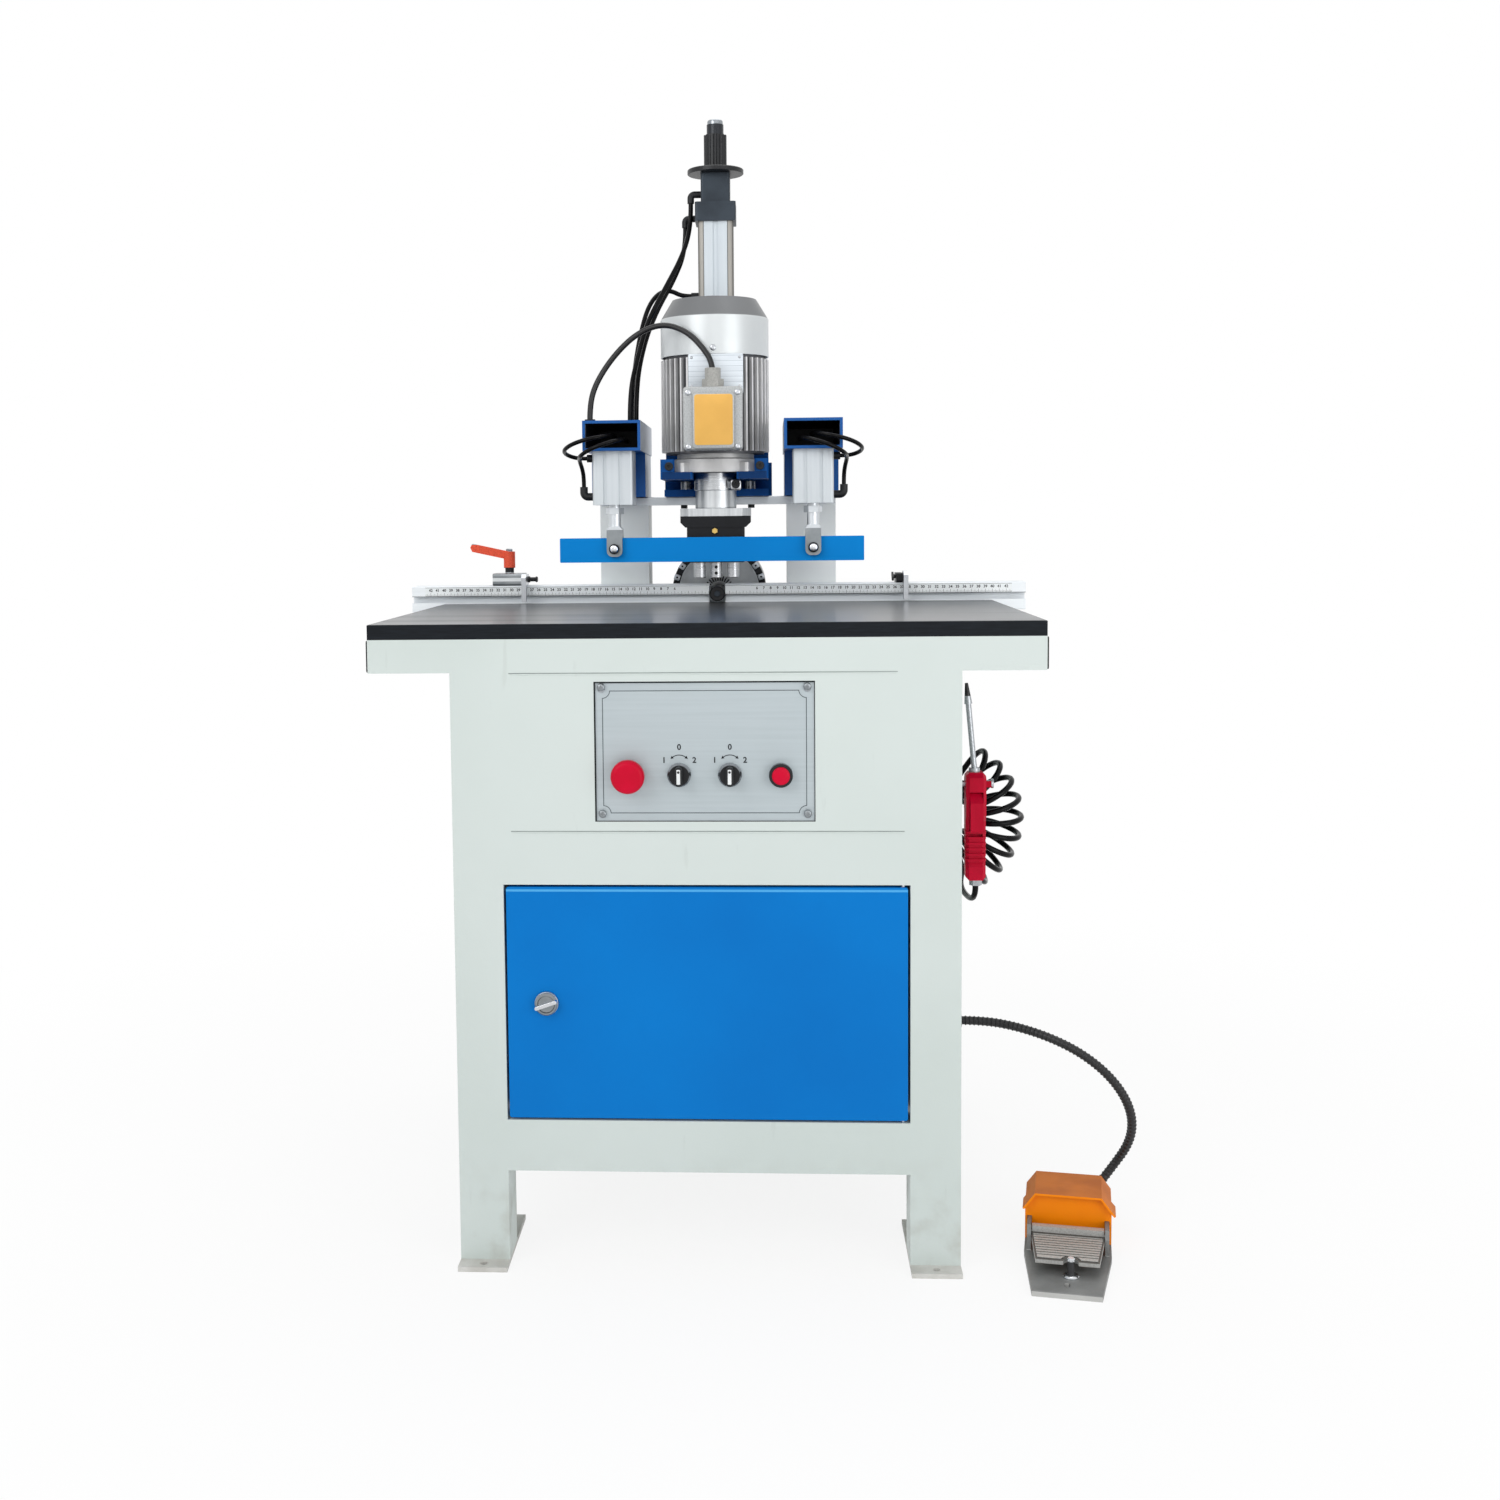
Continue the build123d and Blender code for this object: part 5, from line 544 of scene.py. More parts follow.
def pick(piece, test, part="faces"):
    """Edit mode with the faces or edges that pass a test selected."""
    hold(piece)
    bpy.ops.object.mode_set(mode="EDIT")
    bpy.ops.mesh.select_mode(type="FACE" if part == "faces" else "EDGE")
    bpy.ops.mesh.select_all(action="DESELECT")
    skin = bmesh.from_edit_mesh(piece.data)
    for item in getattr(skin, part):
        if test(item):
            item.select_set(True)
    bmesh.update_edit_mesh(piece.data)


def open_up():
    """Edit mode with everything selected."""
    bpy.ops.object.mode_set(mode="EDIT")
    bpy.ops.mesh.select_all(action="SELECT")


def bake_in(piece, modifier):
    hold(piece)
    bpy.ops.object.modifier_apply(modifier=modifier)


# %% [markdown]
# Air hoses are polyurethane tube: glossy, black and springy. A free hose is a smooth line
# between two fixed ends, so each one is a NURBS curve through a few listed control
# points with a round bevel. The same points shape its solid in the CAD model.

# %% Hoses and cable as smooth curves
hose_skin = Finish("hose_skin", (12, 12, 14), 0.2, shine=0.12)
rub_marks = hose_skin.noise(90, 5).between(0.5, 0.8)
hose_skin.tone(rub_marks, (11, 11, 13), (19, 19, 22))
hose_skin.set("Roughness", 0.16 + 0.2 * rub_marks)
cable_skin = moulded("cable_jacket", (26, 26, 28), (18, 18, 20), 0.36, grain=900)


def smooth_line(name, points):
    """A NURBS line through control points given in millimetres, with no thickness yet."""
    line = bpy.data.curves.new(name, "CURVE")
    line.dimensions = "3D"
    spline = line.splines.new("NURBS")
    spline.points.add(len(points) - 1)
    for knot, point in zip(spline.points, points):
        knot.co = (*[step / 1000 for step in point], 1)
    spline.order_u = 3
    spline.use_endpoint_u = True
    spline.resolution_u = 8
    piece = bpy.data.objects.new(name, line)
    bpy.context.scene.collection.objects.link(piece)
    return piece


def line_points(piece):
    """The points that Blender draws along a bare curve, in order."""
    drawn = bpy.data.meshes.new_from_object(piece)
    points = [vertex.co.copy() for vertex in drawn.vertices]
    bpy.data.meshes.remove(drawn)
    return points


def run(points):
    """The length along a row of points, in millimetres."""
    return 1000 * sum((b - a).length for a, b in zip(points, points[1:]))


def thicken(line, diameter, skin):
    line.data.bevel_depth = diameter / 2000
    line.data.bevel_resolution = 3
    line.data.use_fill_caps = True
    line.data.materials.append(skin.material)


def declare(cord, node, slot, drawn, length, diameter, far_end="object", lay="loose", **words):
    """Hides the CAD node that a cord replaces and prints the cord's drawn length beside the solid's, in
    millimetres.
    """
    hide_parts(node)
    print(cord.name, "is", round(run(drawn)), "mm long, solid", length)


def lay_cord(name, points, diameter, length, skin, node, **words):
    """A cord of that diameter, in millimetres, in place of a CAD node, with its length printed beside the
    given one.
    """
    cord = smooth_line(name, points)
    drawn = line_points(cord)
    thicken(cord, diameter, skin)
    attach(cord, "base")
    declare(cord, node, "black_hose", drawn, length, diameter, **words)


feed_hoses = {
    "feed_hose_top": (369, [
        (-35, 238, 1368), (-35, 238, 1336), (-46, 218, 1291), (-72, 190, 1238), (-96, 160, 1188),
        (-110, 136, 1132), (-120, 118, 1082), (-120, 118, 1039)]),
    "feed_hose_cap": (336, [
        (-44, 251, 1335), (-44, 251, 1300), (-62, 226, 1252), (-85, 194, 1206), (-102, 166, 1156),
        (-112, 132, 1092), (-112, 132, 1039)]),
    "feed_hose_low": (280, [
        (-36, 250, 1234), (-50, 250, 1234), (-67, 248, 1243), (-84, 242, 1239), (-99, 228, 1218),
        (-109, 204, 1178), (-116, 176, 1128), (-118, 150, 1084), (-118, 150, 1039)]),
}
for name, (length, points) in feed_hoses.items():
    lay_cord(name, points, 7, length, hose_skin, "air_hoses")

# %% [markdown]
# Each clamp cylinder takes air at both ends. Its two thin hoses leave elbows on the outer
# side, swing forward round the cylinder and go up into the open front of the arm. One side
# mirrors the other, so only the sign of X changes.

# %% Clamp hoses on both sides
clamp_upper = [
    (178.5, 78, 988), (190, 78, 988), (202, 71, 991), (208, 58, 995), (207, 43, 999), (199, 30, 1004),
    (186, 22, 1009), (170, 19, 1013), (155, 23, 1016), (144, 34, 1018), (139, 50, 1019), (138, 72, 1019),
    (140, 100, 1018)]
clamp_lower = [
    (183.5, 78, 948), (183.5, 78, 962), (185, 71, 974), (187, 59, 983), (186, 45, 988), (183, 29, 990),
    (175, 19, 995), (162, 13, 1001), (147, 13, 1006), (134, 19, 1010), (125, 31, 1012), (121, 47, 1012),
    (122, 98, 1012)]
for side, sign in (("left", -1), ("right", 1)):
    for port, length, route in (("upper", 201, clamp_upper), ("lower", 215, clamp_lower)):
        points = [(sign * x, y, z) for x, y, z in route]
        lay_cord(f"clamp_hose_{side}_{port}", points, 6, length, hose_skin, "air_hoses")

# %% [markdown]
# The motor's cable leaves the gland on the terminal box in a high arch and drops into the
# left arm. One end rises with the feed and the other stays.

# %% Motor cable
cable_route = [
    (2, 28, 1096), (2, 28, 1114), (-10, 36, 1135), (-33, 46, 1160), (-66, 55, 1173), (-102, 60, 1162),
    (-134, 62, 1134), (-160, 62, 1098), (-172, 62, 1066), (-172, 62, 1039)]
motor_cable = smooth_line("motor_lead", cable_route)
cable_path = line_points(motor_cable)
thicken(motor_cable, 8, cable_skin)
hold(motor_cable)
bpy.ops.object.convert(target="MESH")
motor_cable = bpy.context.object
bpy.ops.object.shade_smooth_by_angle(angle=radians(60))
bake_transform(motor_cable)
declare(motor_cable, "motor_cable", "black_plastic", cable_path, 298, 8, path=cable_path)

# %% [markdown]
# A recoil hose feeds the air gun: nine springy turns that fan out like petals, because the
# hose is longer than the reach it needs here. Each turn is a loop round a ring-shaped path,
# worked out with sixteen points a turn as more points of the hose's own line.

# %% Recoil hose of the air gun
fan_centre = Vector((300, -150, 515))
fan_radius, turn_radius, turns = 66, 34, 9
first_angle, last_angle = radians(-68), radians(62)


def recoil_point(share):
    fan = first_angle + (last_angle - first_angle) * share
    swing = 2 * pi * turns * share + QUARTER
    reach = fan_radius + turn_radius * cos(swing)
    return fan_centre + Vector((reach * cos(fan), turn_radius * sin(swing), reach * sin(fan)))


count = 16 * turns
coil = [recoil_point(step / count) for step in range(count + 1)]
way_in = (coil[1] - coil[0]).normalized()
way_out = (coil[-1] - coil[-2]).normalized()
tail = [(335, -206, 438), (335, -206, 414), (*coil[0].xy, 414), coil[0] - 14 * way_in]
lead = [coil[-1] + 22 * way_out, (318, -116, 545), (314, -116, 545)]
lay_cord("recoil_hose", (tail + coil + lead)[::-1], 7.5, 2103, hose_skin, "coil_hose",
         far_end="tool", lay="coiled",
         with_pieces=[nodes["gun_body"], nodes["gun_nozzle"], nodes["gun_trigger"]])

# %% [markdown]
# The pedal's wires run in ribbed conduit. One rib is modelled as a short ring, arrayed to
# the length of the route and bent along it with a Curve modifier, so that no ring has to be
# drawn twice.

# %% Ribbed conduit to the pedal
conduit_route = [
    (310, -200, 262), (345, -200, 262), (386, -204, 256), (428, -211, 244), (466, -216, 226),
    (499, -217, 200), (523, -212, 168), (535, -202, 134), (533, -190, 100), (514.6, -178.9, 65.5),
    (488.2, -195.8, 40.7)]
route_line = smooth_line("conduit_route", conduit_route)
conduit_path = line_points(route_line)
ribs, rib_radius, neck_radius = 72, 0.006, 0.0052
pitch = run(conduit_path) / 1000 / ribs
conduit = add(bpy.ops.mesh.primitive_cylinder_add, vertices=16, radius=neck_radius, depth=pitch,
              end_fill_type="NOTHING", location=(pitch / 2, 0, 0), rotation=(0, QUARTER, 0))
conduit.name = "pedal_conduit"
bpy.ops.object.mode_set(mode="EDIT")
for share in (0.25, 0.42, 0.58, 0.75):
    bpy.ops.mesh.select_all(action="SELECT")
    bpy.ops.mesh.bisect(plane_co=(pitch * share, 0, 0), plane_no=(1, 0, 0))
pick(conduit, lambda edge: all(abs(v.co.x / pitch - 0.5) < 0.1 for v in edge.verts), "edges")
swell = rib_radius / neck_radius
bpy.ops.transform.resize(value=(1, swell, swell))
fresh()
row = conduit.modifiers.new("row_of_ribs", "ARRAY")
row.count = ribs
row.use_merge_vertices = True
row.merge_threshold = 0.00005
bend = conduit.modifiers.new("along_route", "CURVE")
bend.object = route_line
bake_in(conduit, "row_of_ribs")
bake_in(conduit, "along_route")
bpy.ops.object.shade_smooth_by_angle(angle=radians(40))
bpy.data.objects.remove(route_line)
conduit_skin = moulded("conduit_skin", (34, 34, 36), (22, 22, 24), 0.4, grain=800)
conduit.data.materials.append(conduit_skin.material)
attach(conduit, "base")
declare(conduit, "conduit", "conduit_plastic", conduit_path, 396, 12, path=conduit_path)

# %% [markdown]
# Small parts repeat a few shapes, and these helpers make each with the operators that a
# modeller uses by hand: extrude and scale a disc as on a lathe, bevel a block as on a mill, and
# cut with a Boolean. A shape that repeats is made once, and every copy gets a mesh of its own.

# %% Lathe, mill and copies
BLACK, ZINC = (moulding, "black_plastic"), (zinc_plate, "plated_steel")
CHROME, STEEL = (chrome, "plated_steel"), (fork_steel, "plated_steel")
TURNED = (turned_steel, "bare_steel")
AIMS = {"front": (QUARTER, 0, 0), "right": (0, QUARTER, 0), "up": (0, 0, 0), "down": (pi, 0, 0)}


def turn_to(piece, aim):
    piece.rotation_euler = AIMS[aim]
    hold(piece)
    bpy.ops.object.transform_apply()
    return piece


def turned(steps, sides=24, aim="up"):
    """A lathe part through (radius, height) steps in millimetres, turned to its aim."""
    radius, height = steps[0]
    piece = add(bpy.ops.mesh.primitive_circle_add, vertices=sides, radius=radius / 1000,
                fill_type="NGON", location=(0, 0, height / 1000))
    open_up()
    for next_radius, next_height in steps[1:]:
        rise = (0, 0, (next_height - height) / 1000)
        bpy.ops.mesh.extrude_region_move(TRANSFORM_OT_translate={"value": rise})
        bpy.ops.transform.resize(value=(next_radius / radius, next_radius / radius, 1))
        radius, height = next_radius, next_height
    bpy.ops.mesh.select_all(action="SELECT")
    bpy.ops.mesh.normals_make_consistent(inside=False)
    return turn_to(piece, aim)


def milled(low, high, edge, corner=0.0, along=1):
    """A block between two corners in millimetres: rounded along one axis, then all edges broken."""
    piece = add(bpy.ops.mesh.primitive_cube_add, [(b - a) / 1000 for a, b in zip(low, high)],
                size=1, location=[(a + b) / 2000 for a, b in zip(low, high)])
    if corner:
        pick(piece, lambda rim: abs(rim.verts[0].co[along] - rim.verts[1].co[along]) > 1e-5, "edges")
        bpy.ops.mesh.bevel(offset=corner / 1000, segments=5, affect="EDGES")
    pick(piece, lambda rim: rim.calc_face_angle(0) > 0.6, "edges")
    bpy.ops.mesh.bevel(offset=edge / 1000, segments=2, affect="EDGES")
    fresh()
    return piece


def cut_out(piece, tool):
    """Takes the tool's shape out of a piece and throws the tool away."""
    cut = piece.modifiers.new("cut", "BOOLEAN")
    cut.operation = "DIFFERENCE"
    cut.solver = "EXACT"
    cut.object = tool
    bake_in(piece, "cut")
    bpy.data.objects.remove(tool)


def settle(piece, name, body, kit):
    """Names a finished piece, gives it its finish and lets it ride on a body."""
    finish, slot = kit
    hold(piece)
    bpy.ops.object.transform_apply()
    bpy.ops.object.shade_smooth_by_angle(angle=radians(35))
    piece.name = piece.data.name = name
    piece.data.materials.append(finish.material)
    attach(piece, body)
    print(name, "rides on", body)


def set_out(model, name, places, body, kit):
    """A copy of the model at each place in millimetres, turned about Y by a fourth value if given."""
    for number, (x, y, z, *turn) in enumerate(places, 1):
        hold(model)
        bpy.ops.object.duplicate()
        copy = bpy.context.object
        copy.location = (x / 1000, y / 1000, z / 1000)
        copy.rotation_euler = (0, sum(turn), 0)
        settle(copy, f"{name}_{number}", body, kit)
    bpy.data.objects.remove(model)


def block(name, body, kit, *size):
    settle(milled(*size), name, body, kit)


def fit(name, steps, sides, places, body, kit, aim="front"):
    set_out(turned(steps, sides, aim), name, places, body, kit)


def cross_head(radius):
    """A domed screw head with a cross recess, seen from the front."""
    dome = ((1, 0), (1, 0.3), (0.86, 0.55), (0.5, 0.7))
    head = turned([(a * radius, b * radius) for a, b in dome])
    for x, y in ((0.11 * radius, 0.55 * radius), (0.55 * radius, 0.11 * radius)):
        cut_out(head, milled((-x, -y, 0.4 * radius), (x, y, radius), 0.02 * radius))
    return turn_to(head, "front")


def socket_head(radius, aim="front"):
    """A cylindrical cap screw with a hexagon socket."""
    head = turned([(radius, 0), (radius, 0.95 * radius), (0.9 * radius, 1.05 * radius)])
    cut_out(head, turned([(0.5 * radius, 0.5 * radius), (0.52 * radius, 1.3 * radius)], 6))
    return turn_to(head, aim)


# %% [markdown]
# The folds of the front sheet show as two fine level lines above and below the switches: a
# shaded groove with a lip that catches the light under it. Thin strips with broken edges
# give both.

# %% Fold lines of the front sheet
fold_shade = moulded("fold_shade", (158, 167, 165), (140, 149, 147), 0.6, shine=0.2)
for place, height, end in (("upper", 721.2, 227), ("lower", 532.2, 235)):
    block(f"fold_groove_{place}", "base", (fold_shade, "panel_paint"),
          (-231.5, -350.3, height - 0.4), (end, -349.8, height + 0.7), 0.12)
    block(f"fold_lip_{place}", "base", (coat, "panel_paint"),
          (-229.5, -350.8, height - 2.2), (end - 2, -349.8, height - 0.5), 0.35)

# %% [markdown]
# The square tubes of the table ring and the rear legs end open, and a plug of black plastic
# closes each so that no chips get in. A plug is a flat cap with rounded corners, made once
# for each direction and copied.

# %% Tube plugs
ring_plug = milled((-0.4, -19, -19), (2, 19, 19), 0.7, 2.5, 0)
ring_ends = [(x, y, 742) for x in (400, -401.6) for y in (-330, 130)]
set_out(ring_plug, "ring_plug", ring_ends, "base", BLACK)
leg_plug = milled((-29, -29, -0.4), (29, 29, 2), 0.7, 2.5, 2)
set_out(leg_plug, "leg_plug", [(-272, 320, 722), (272, 320, 722)], "base", BLACK)

# %% [markdown]
# The switch plate is printed: a fine border that steps round the four screws, and an arc
# with two arrowheads over each selector. The print is flat ribbons of mesh just in front of
# the plate, because a thin line drawn by a texture would blur when the textures are baked.
# Words are left off, and the three positions of each selector have plain numbers.

# %% Print on the switch plate
INK = (moulded("plate_ink", (34, 36, 40), (26, 28, 31), 0.5, shine=0.2), "black_plastic")
border_ink = moulded("border_ink", (88, 96, 101), (76, 84, 88), 0.5, shine=0.2)
ink_y = -0.3482
border = add(bpy.ops.mesh.primitive_plane_add, (0.2415, 0.1465, 1), size=1,
             location=(0, ink_y, 0.627), rotation=AIMS["front"])
open_up()
bpy.ops.mesh.bevel(offset=0.0088, segments=8, affect="VERTICES", profile=0.086)
bpy.ops.mesh.select_all(action="SELECT")
bpy.ops.mesh.inset(thickness=0.0009)
bpy.ops.mesh.delete(type="FACE")
settle(border, "plate_border", "base", (border_ink, "black_plastic"))


def turn_arrow(x):
    """An arc over a selector with an arrowhead at each end."""
    centre_z, radius, half_angle = 0.6101, 0.0132, radians(40)
    arc = add(bpy.ops.mesh.primitive_circle_add, vertices=72, radius=radius + 0.0005, fill_type="NGON",
              location=(x, ink_y, centre_z), rotation=AIMS["front"])
    open_up()
    bpy.ops.mesh.inset(thickness=0.001)
    lowest = centre_z + radius * cos(half_angle)
    pick(arc, lambda face: len(face.verts) > 4 or face.calc_center_median().z < lowest)
    bpy.ops.mesh.delete(type="FACE")
    for side in (-1, 1):
        tip = (x + side * radius * sin(half_angle), ink_y, lowest)
        bpy.ops.mesh.primitive_circle_add(vertices=3, radius=0.0023, fill_type="NGON", location=tip,
                                          rotation=(QUARTER, side * radians(130), 0))
    fresh()
    return arc


def lettering(text, place, size):
    """Plain text as a flat mesh that faces the front, with sizes in millimetres."""
    fresh()
    bpy.ops.object.text_add(location=[step / 1000 for step in place], rotation=AIMS["front"])
    words = bpy.context.object.data
    words.body = text
    words.size = size / 1000
    words.offset = size * 0.000025
    words.align_x = words.align_y = "CENTER"
    words.resolution_u = 3
    bpy.ops.object.convert(target="MESH")
    return bpy.context.object


for side, x in (("left", -SELECTOR_X), ("right", SELECTOR_X)):
    settle(turn_arrow(x / 1000), f"turn_arrow_{side}", "base", INK)
    for position, offset, z in (("1", -18, 617), ("0", 0, 632.5), ("2", 18, 617)):
        number = lettering(position, (x + offset, 1000 * ink_y, z), 9.5)
        settle(number, f"position_{position}_{side}", "base", INK)

# %% [markdown]
# The plate sits a little behind the front sheet, so thin dark strips stand for the shade
# along the edges of the opening. The power lamp gets its black ring and domed red glass.

# %% Opening, lamp and plate screws
shaded = moulded("opening_shade", (40, 43, 46), (30, 33, 35), 0.7, shine=0.1)
left, right, low, top = -130.5, 130.5, 543.9, 711.2
strips = {"top": (left, top - 2, right, top), "left": (left, low, left + 1.8, top),
          "right": (right - 0.9, low, right, top), "bottom": (left, low, right, low + 0.8)}
for edge, (x1, z1, x2, z2) in strips.items():
    block(f"opening_{edge}", "base", (shaded, "black_plastic"), (x1, -349.6, z1), (x2, -348.1, z2), 0.15)
fit("lamp_ring", [(14, 0), (14, 5), (13, 6.2)], 48, [(LAMP_X, -355.5, SWITCH_Z)], "base", BLACK)
fit("lamp_glass", [(10.6, 0), (10.6, 7.2), (9.8, 8.6), (7, 9.4), (3, 9.8)], 48,
    [(LAMP_X, -356, SWITCH_Z)], "base", (stop_red, "lamp_red"))
plate_corners = [(x, -350.3, z) for z in (553.8, 704.3) for x in (-121.5, 121.5)]
set_out(cross_head(4.6), "plate_screw", plate_corners, "base", STEEL)

# %% [markdown]
# Each selector is a black knob with a raised white bar that points at the chosen position
# and a dark dot at the tip of the bar. The marks ride on the knobs, so they turn with them.

# %% Selector pointers
white_print = moulded("pointer_white", (236, 238, 238), (222, 225, 226), 0.4)
for body, x in (("selector_v", -SELECTOR_X), ("selector_h", SELECTOR_X)):
    block(f"pointer_{body}", body, (white_print, "grey_plastic"),
          (x - 2.1, -372.1, 591.5), (x + 2.1, -371.1, 609), 0.25, 0.8)
    fit(f"pointer_dot_{body}", [(1.5, 0), (1.5, 0.4), (1.2, 0.6)], 16, [(x, -371.9, 606)], body, BLACK)

# %% [markdown]
# The motor carries the usual fittings: a blank rating plate riveted over its fins, a deep
# lid on the terminal box with a plain amber panel, and screws at the lid's corners and on
# the fan cowl. The panel and the plate stay without print.

# %% Motor fittings
rating = Finish("rating_plate", (218, 225, 231), 0.4, 0.35)
row_lines = abs((rating.z / 0.0072).fraction() - 0.5) < 0.03
plate_grain = rating.noise(220, 4, (0.03, 1, 1))
rating.tone(plate_grain, (222, 229, 235), (200, 207, 214))
rating.cover(row_lines, (158, 168, 178))
rating.set("Roughness", 0.34 + 0.16 * plate_grain)
amber = moulded("amber_panel", (243, 190, 98), (232, 178, 88), 0.45, shine=0.25)
block("rating_plate", "feed", (rating, "aluminium"),
      (-32.5, 46.7, 1074), (43.5, 47.8, 1129.5), 0.25, 2)
rivets = [(x, 46.8, z) for z in (1124.5, 1085) for x in (-28, 39)]
fit("plate_rivet", [(2.0, 0), (2.0, 0.4), (1.2, 1.0)], 16, rivets, "feed", ZINC)
block("terminal_lid", "feed", (box_finish, "motor_grey"), (-25.5, 6, 997), (31.5, 12.3, 1073), 1.6, 5)
block("amber_panel", "feed", (amber, "orange_plastic"), (-23, 5.5, 1002), (29.5, 6.1, 1071), 0.12, 4)
lid_corners = [(x, 12, z) for z in (1000, 1074) for x in (-31.7, 36)]
set_out(cross_head(4), "lid_screw", lid_corners, "feed", ZINC)
set_out(cross_head(4.2), "cowl_screw", [(HEAD_X, 48.1, 1138)], "feed", ZINC)

# %% [markdown]
# Below the motor a split collar grips the quill with one black cap screw, the gear case has
# a brass oil plug, and two cap screws sit in the ears of the carriage's shelf. Brass is a warm
# yellow metal, so its base colour is tinted and the metallic value is full.

# %% Quill clamp, oil plug and carriage screws
brass = brushed("brass", (226, 196, 120), (188, 152, 84), 80, (1, 1, 1), 0.3)
block("quill_clamp_lug", "feed", TURNED, (24, 97, 942), (38.5, 138, 956.6), 1.2, 3)
fit("quill_collar", [(29.9, 941.5), (30.8, 942.2), (30.8, 966.2), (29.9, 966.8)], 64,
    [(HEAD_X, HEAD_Y, 0)], "feed", TURNED, "up")
set_out(socket_head(6.2), "quill_clamp_screw", [(31.2, 97.2, 950)], "feed", BLACK)
fit("oil_plug", [(4.6, 0), (4.6, 1.6), (3.9, 2.2), (2.2, 2.2), (2.2, 1.2)], 6,
    [(1, 94.1, 884)], "feed", (brass, "plated_steel"))
set_out(socket_head(6), "carriage_screw", [(-61.5, 61.2, 975), (66, 61.2, 975)], "feed", BLACK)
block("rear_apron", "base", (arm_blue, "bracket_blue"), (-79, 262, 934.2), (83, 266, 985), 0.6)
set_out(socket_head(5, "down"), "bridge_screw", [(-48, 214, 922), (52, 214, 922)], "base", BLACK)

# %% [markdown]
# Under the press bar the horizontal motor looks out: its shield has bright lugs round the
# rim and a slotted nut round the spindle. A lug and a tooth are modelled once, standing
# upright, and then copied round the motor's axis, each turned to its own angle.

# %% Horizontal motor's shield


def ring(y, radius, angles):
    """Places round the horizontal head's axis, each with the turn that points a part outwards."""
    swings = [radians(angle) for angle in angles]
    return [(HEAD_X + radius * cos(swing), y, SLIDE_Z + radius * sin(swing), QUARTER - swing)
            for swing in swings]


lug = milled((-4.5, -2.4, -4.5), (4.5, 2.4, 4.5), 0.7, 1.5)
cut_out(lug, turned([(1.7, -4), (1.7, 4)], 16, "front"))
lug_places = ring(254.4, 67, [18, 34, 50, 130, 146, 162])
set_out(lug, "shield_lug", lug_places, "slide_unit", (zinc_plate, "motor_grey"))
tooth = milled((-0.9, -2, -4), (0.9, 2, 4), 0.3)
set_out(tooth, "nut_tooth", ring(254.8, 19, range(0, 181, 12)), "slide_unit", BLACK)
fit("nose_ring", [(11, 0), (11, 2), (9.6, 3.2)], 32, [(HEAD_X, 153.2, SLIDE_Z)], "slide_shaft", BLACK)
fit("nose_hex", [(5, 0), (5, 0.9), (4.2, 1.6)], 6, [(HEAD_X, 150.2, SLIDE_Z)], "slide_shaft",
    (hard_anodised, "plated_steel"))
fit("chuck_screw", [(2.3, 0), (2.3, 0.5), (1.9, 0.7)], 16,
    [(HEAD_X, 112.2, 832), (HEAD_X, 112.2, 823.5)], "spindle_c", BLACK)

# %% [markdown]
# A bright pin with a dark washer joins each clamp rod's fork to the press bar. They move
# down with the bar, so they ride on the press body.

# %% Fork pins
fit("pin_washer", [(6.9, 0), (7.2, 0.3), (7.2, 0.9), (6.9, 1.2)], 32,
    [(-140, 58.4, 860), (140, 58.4, 860)], "press", (gear_black, "bare_steel"))
fit("pin_cap", [(5.6, 0), (5.6, 1.6), (5.0, 2.6), (3.6, 3.1)], 32,
    [(-140, 57.3, 860), (140, 57.3, 860)], "press", CHROME)

# %% [markdown]
# The door's lock is a chromed quarter turn: a ring with a recess and a wing across it,
# slightly tilted as the last hand left it. The left stop has a dark hinge pin, and a bright
# hexagon screw holds its clamping lever.

# %% Lock wing, hinge pin and lever screw
fit("lock_ring", [(13.8, 0), (13.8, 2.2), (12.4, 3.6), (10.6, 3.6), (9.6, 2.0), (4, 2.0)], 40,
    [(-192, -354.2, 324)], "lock", STEEL)
wing = milled((-14, -8.6, -2.3), (14, -1.2, 2.3), 0.8, 1.9)
wing.rotation_euler = (0, radians(-19), 0)
wing.location = (-0.192, -0.3542, 0.324)
settle(wing, "lock_wing", "lock", CHROME)
fit("stop_pin", [(4.6, 0), (4.6, 2), (3.2, 2.6), (3.2, 10), (4.2, 10.8), (4.2, 12.6), (3.2, 13.6)], 24,
    [(-276, 160, 815)], "stop_l", (spindle_black, "black_plastic"), "right")
fit("lever_screw", [(5.2, 0), (5.2, 3.6), (4.2, 4.6)], 6, [(-305.5, 170, 855.6)], "lever", STEEL, "up")

# %% [markdown]
# The rules on the fence are numbered in centimetres from the spindle's middle. Each number
# is a small text turned into a mesh, and all numbers of one side are joined into one piece.

# %% Numbers on the rules
for side, sign in (("left", -1), ("right", 1)):
    numbers = [lettering(str(count), (sign * 10 * count, 149.3, 799.8), 5.6) for count in range(6, 43)]
    hold(numbers[0])
    for number in numbers[1:]:
        number.select_set(True)
    bpy.ops.object.join()
    settle(bpy.context.object, f"rule_numbers_{side}", "base", INK)

# %% [markdown]
# The air gun ends in a small red hook by which it hangs, and the pedal has a bright guide
# screw with a washer in its notch. Both are little more than turned and bevelled shapes.

# %% Gun hook and pedal screw
hook = milled((346.2, -205, 561.5), (356, -197, 569.5), 0.6)
pick(hook, lambda face: face.normal.x > 0.9)
bpy.ops.transform.resize(value=(1, 0.6, 0.25))
fresh()
settle(hook, "gun_hook", "base", (crimson, "red_plastic"))
pin_place = [(*PEDAL_PIN, 0)]
fit("pedal_washer", [(9.6, 7.1), (9.6, 8.8), (8.4, 10.2), (5, 11.2)], 32, pin_place, "base", CHROME,
    "up")
fit("pedal_pin", [(4.7, 27), (4.7, 29.4), (3.4, 30.6)], 24, pin_place, "base", CHROME, "up")

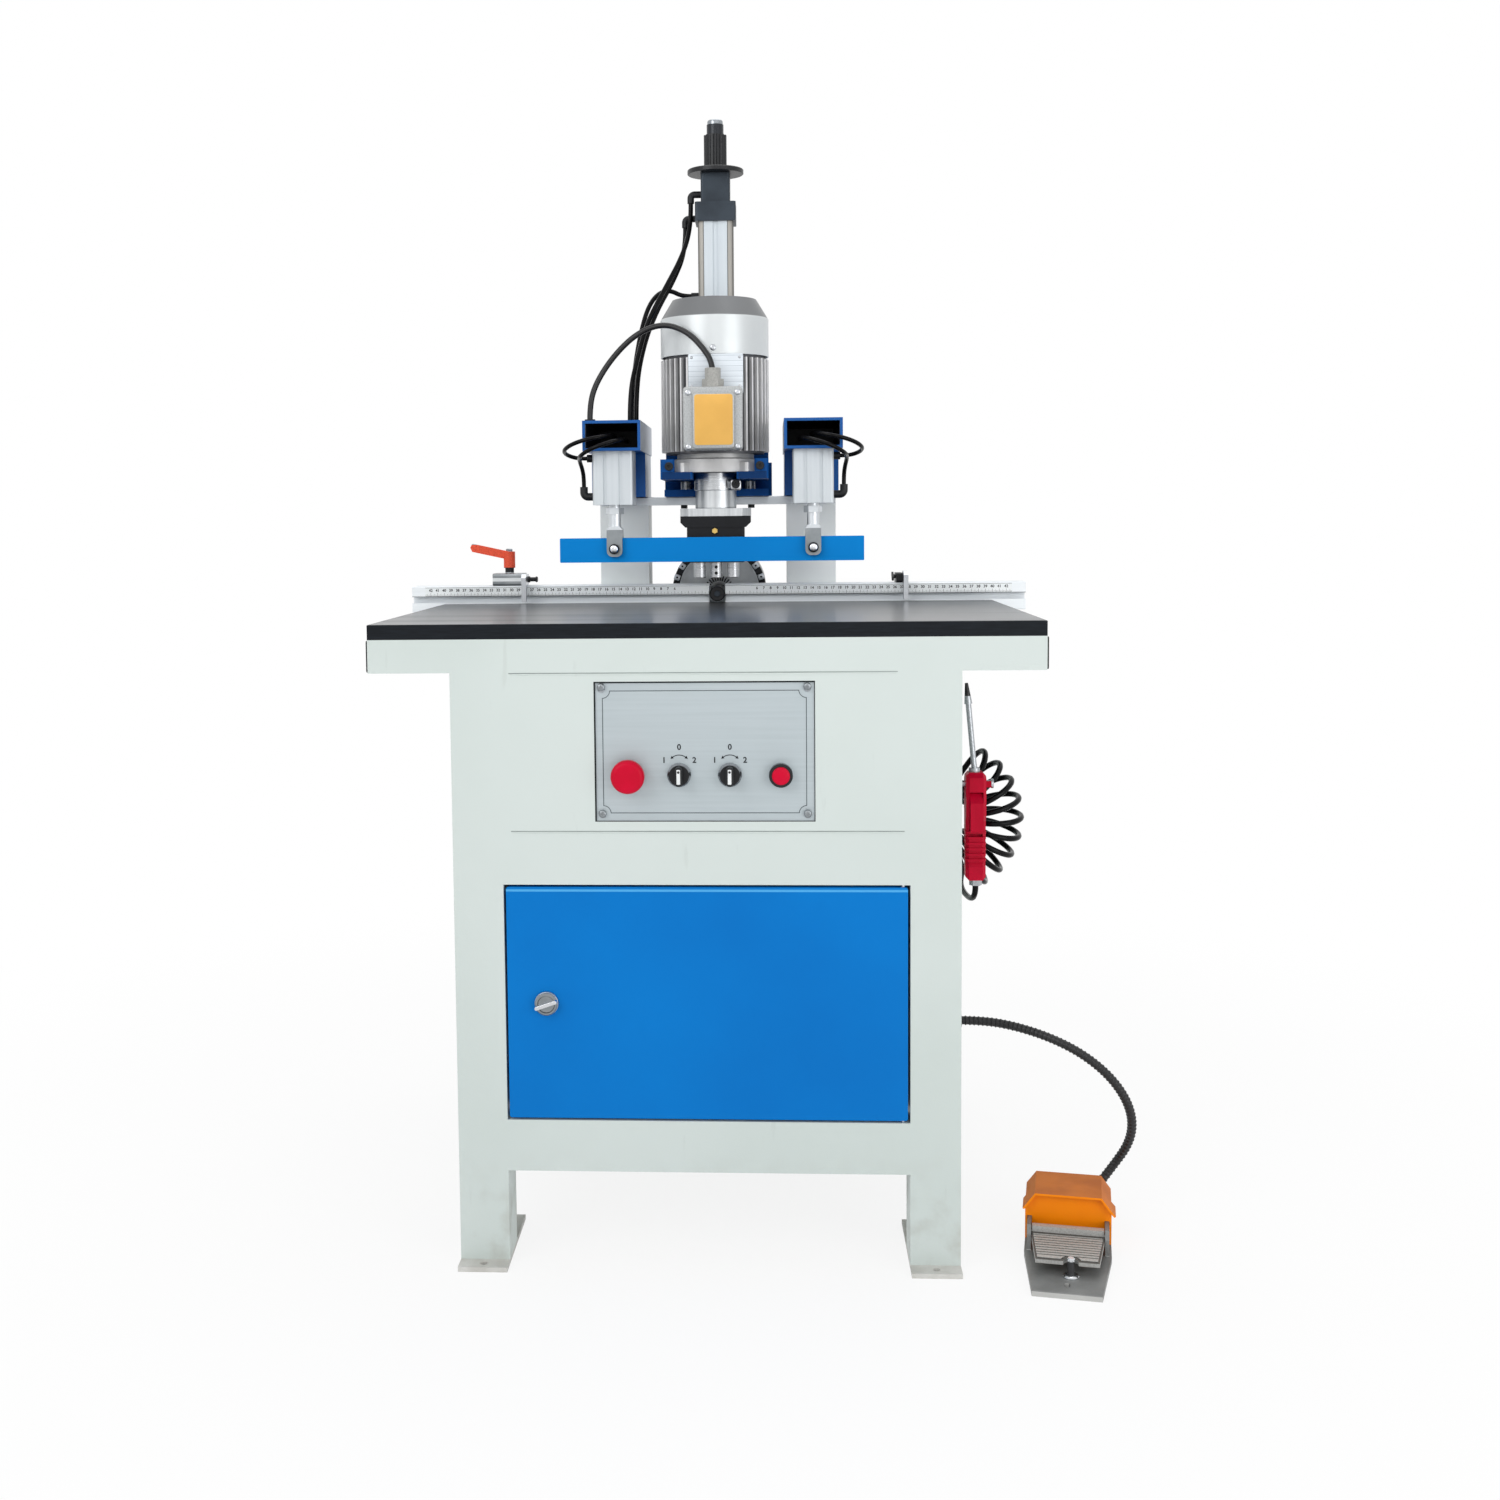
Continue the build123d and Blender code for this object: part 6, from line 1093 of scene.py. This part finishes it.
# %% [markdown]
# The portrait is taken from the front, a little right of the middle and just above the
# table. The camera's place and lens were worked out from edges whose sizes are known, and
# the small shift keeps the machine where the photograph frames it.

# %% Camera
place, yaw, tilt, roll = (0.07631, -2.37982, 0.90296), -0.0583, -0.0783, -0.0106
picture, film, focal, middle_x, middle_y = 1500, 36, 1733.23, 667.68, 654.01
view = bpy.data.cameras.new("portrait_camera")
view.lens = focal * film / picture
view.shift_x, view.shift_y = 0.5 - middle_x / picture, middle_y / picture - 0.5
camera = bpy.data.objects.new("portrait_camera", view)
camera.matrix_world = (Matrix.Translation(place) @ Matrix.Rotation(-yaw, 4, "Z")
                       @ Matrix.Rotation(QUARTER + tilt, 4, "X") @ Matrix.Rotation(roll, 4, "Z"))
bpy.context.scene.collection.objects.link(camera)
bpy.context.scene.camera = camera
bpy.context.scene.view_settings.view_transform = "Standard"
print("lens", round(view.lens, 1), "mm")

# %% [markdown]
# Studio light for a catalogue picture is large and soft: one broad lamp on the left, a
# weaker one on the right and one overhead. A narrow fourth lamp lifts the drilling head,
# which the arms would leave in shade. The floor and the sky show the camera a clean
# white, while the floor still keeps part of the machine's shadow.

# %% Floor, sky and lamps


def to_the_eye(network):
    """1 for rays of the camera, straight, mirrored or through glass, and 0 for all other light."""
    seen, mirrored, passed = [network.node("LightPath", output=f"Is {kind} Ray")
                              for kind in ("Camera", "Glossy", "Transmission")]
    return seen.most(mirrored).most(passed)


def lamp(name, kind, place, aim, power, **traits):
    light = bpy.data.lights.new(name, kind)
    light.energy = power
    for trait, value in traits.items():
        setattr(light, trait, value)
    stand = bpy.data.objects.new(name, light)
    stand.location = place
    stand.rotation_euler = (Vector(aim) - Vector(place)).to_track_quat("-Z", "Y").to_euler()
    bpy.context.scene.collection.objects.link(stand)


floor = add(bpy.ops.mesh.primitive_plane_add, size=14, location=(0, 1, 0))
floor.name = "studio_floor"
ground = Finish("studio_floor", (0.9, 0.9, 0.9, 1), 0.8)
white = ground.node("Emission", {"Color": (1, 1, 1, 1), "Strength": 1.0})
far_out = ground.reach("X", "Y", (0, 0)).between(0.4, 1.8)
shown = to_the_eye(ground) * (0.86 + 0.14 * far_out)
lit = Signal(ground, ground.shader.outputs[0])
blend_in = ground.node("MixShader", {0: shown, 1: lit, 2: white})
ground.fill(ground.tree.nodes["Material Output"].inputs[0], blend_in)
floor.data.materials.append(ground.material)

sky = bpy.data.worlds.new("studio_sky")
bpy.context.scene.world = sky
air = Network(sky)
background = sky.node_tree.nodes["Background"]
air.fill(background.inputs["Color"], (1, 1, 1, 1))
air.fill(background.inputs["Strength"], 0.62 + 0.38 * to_the_eye(air))

lamp("key_lamp", "AREA", (-1.9, -2.6, 2.3), (0, 0, 0.75), 34, size=1.8)
lamp("fill_lamp", "AREA", (2.0, -2.4, 0.95), (0, 0, 0.6), 23, size=1.8)
lamp("top_lamp", "AREA", (0.2, 0.6, 3.2), (0, 0, 0.8), 24, size=2.0)
lamp("head_lamp", "SPOT", (0.15, -2.1, 1.6), (0, 0.15, 0.9), 26,
     spot_size=radians(24), spot_blend=0.9, shadow_soft_size=0.5)
print("lamps ready")
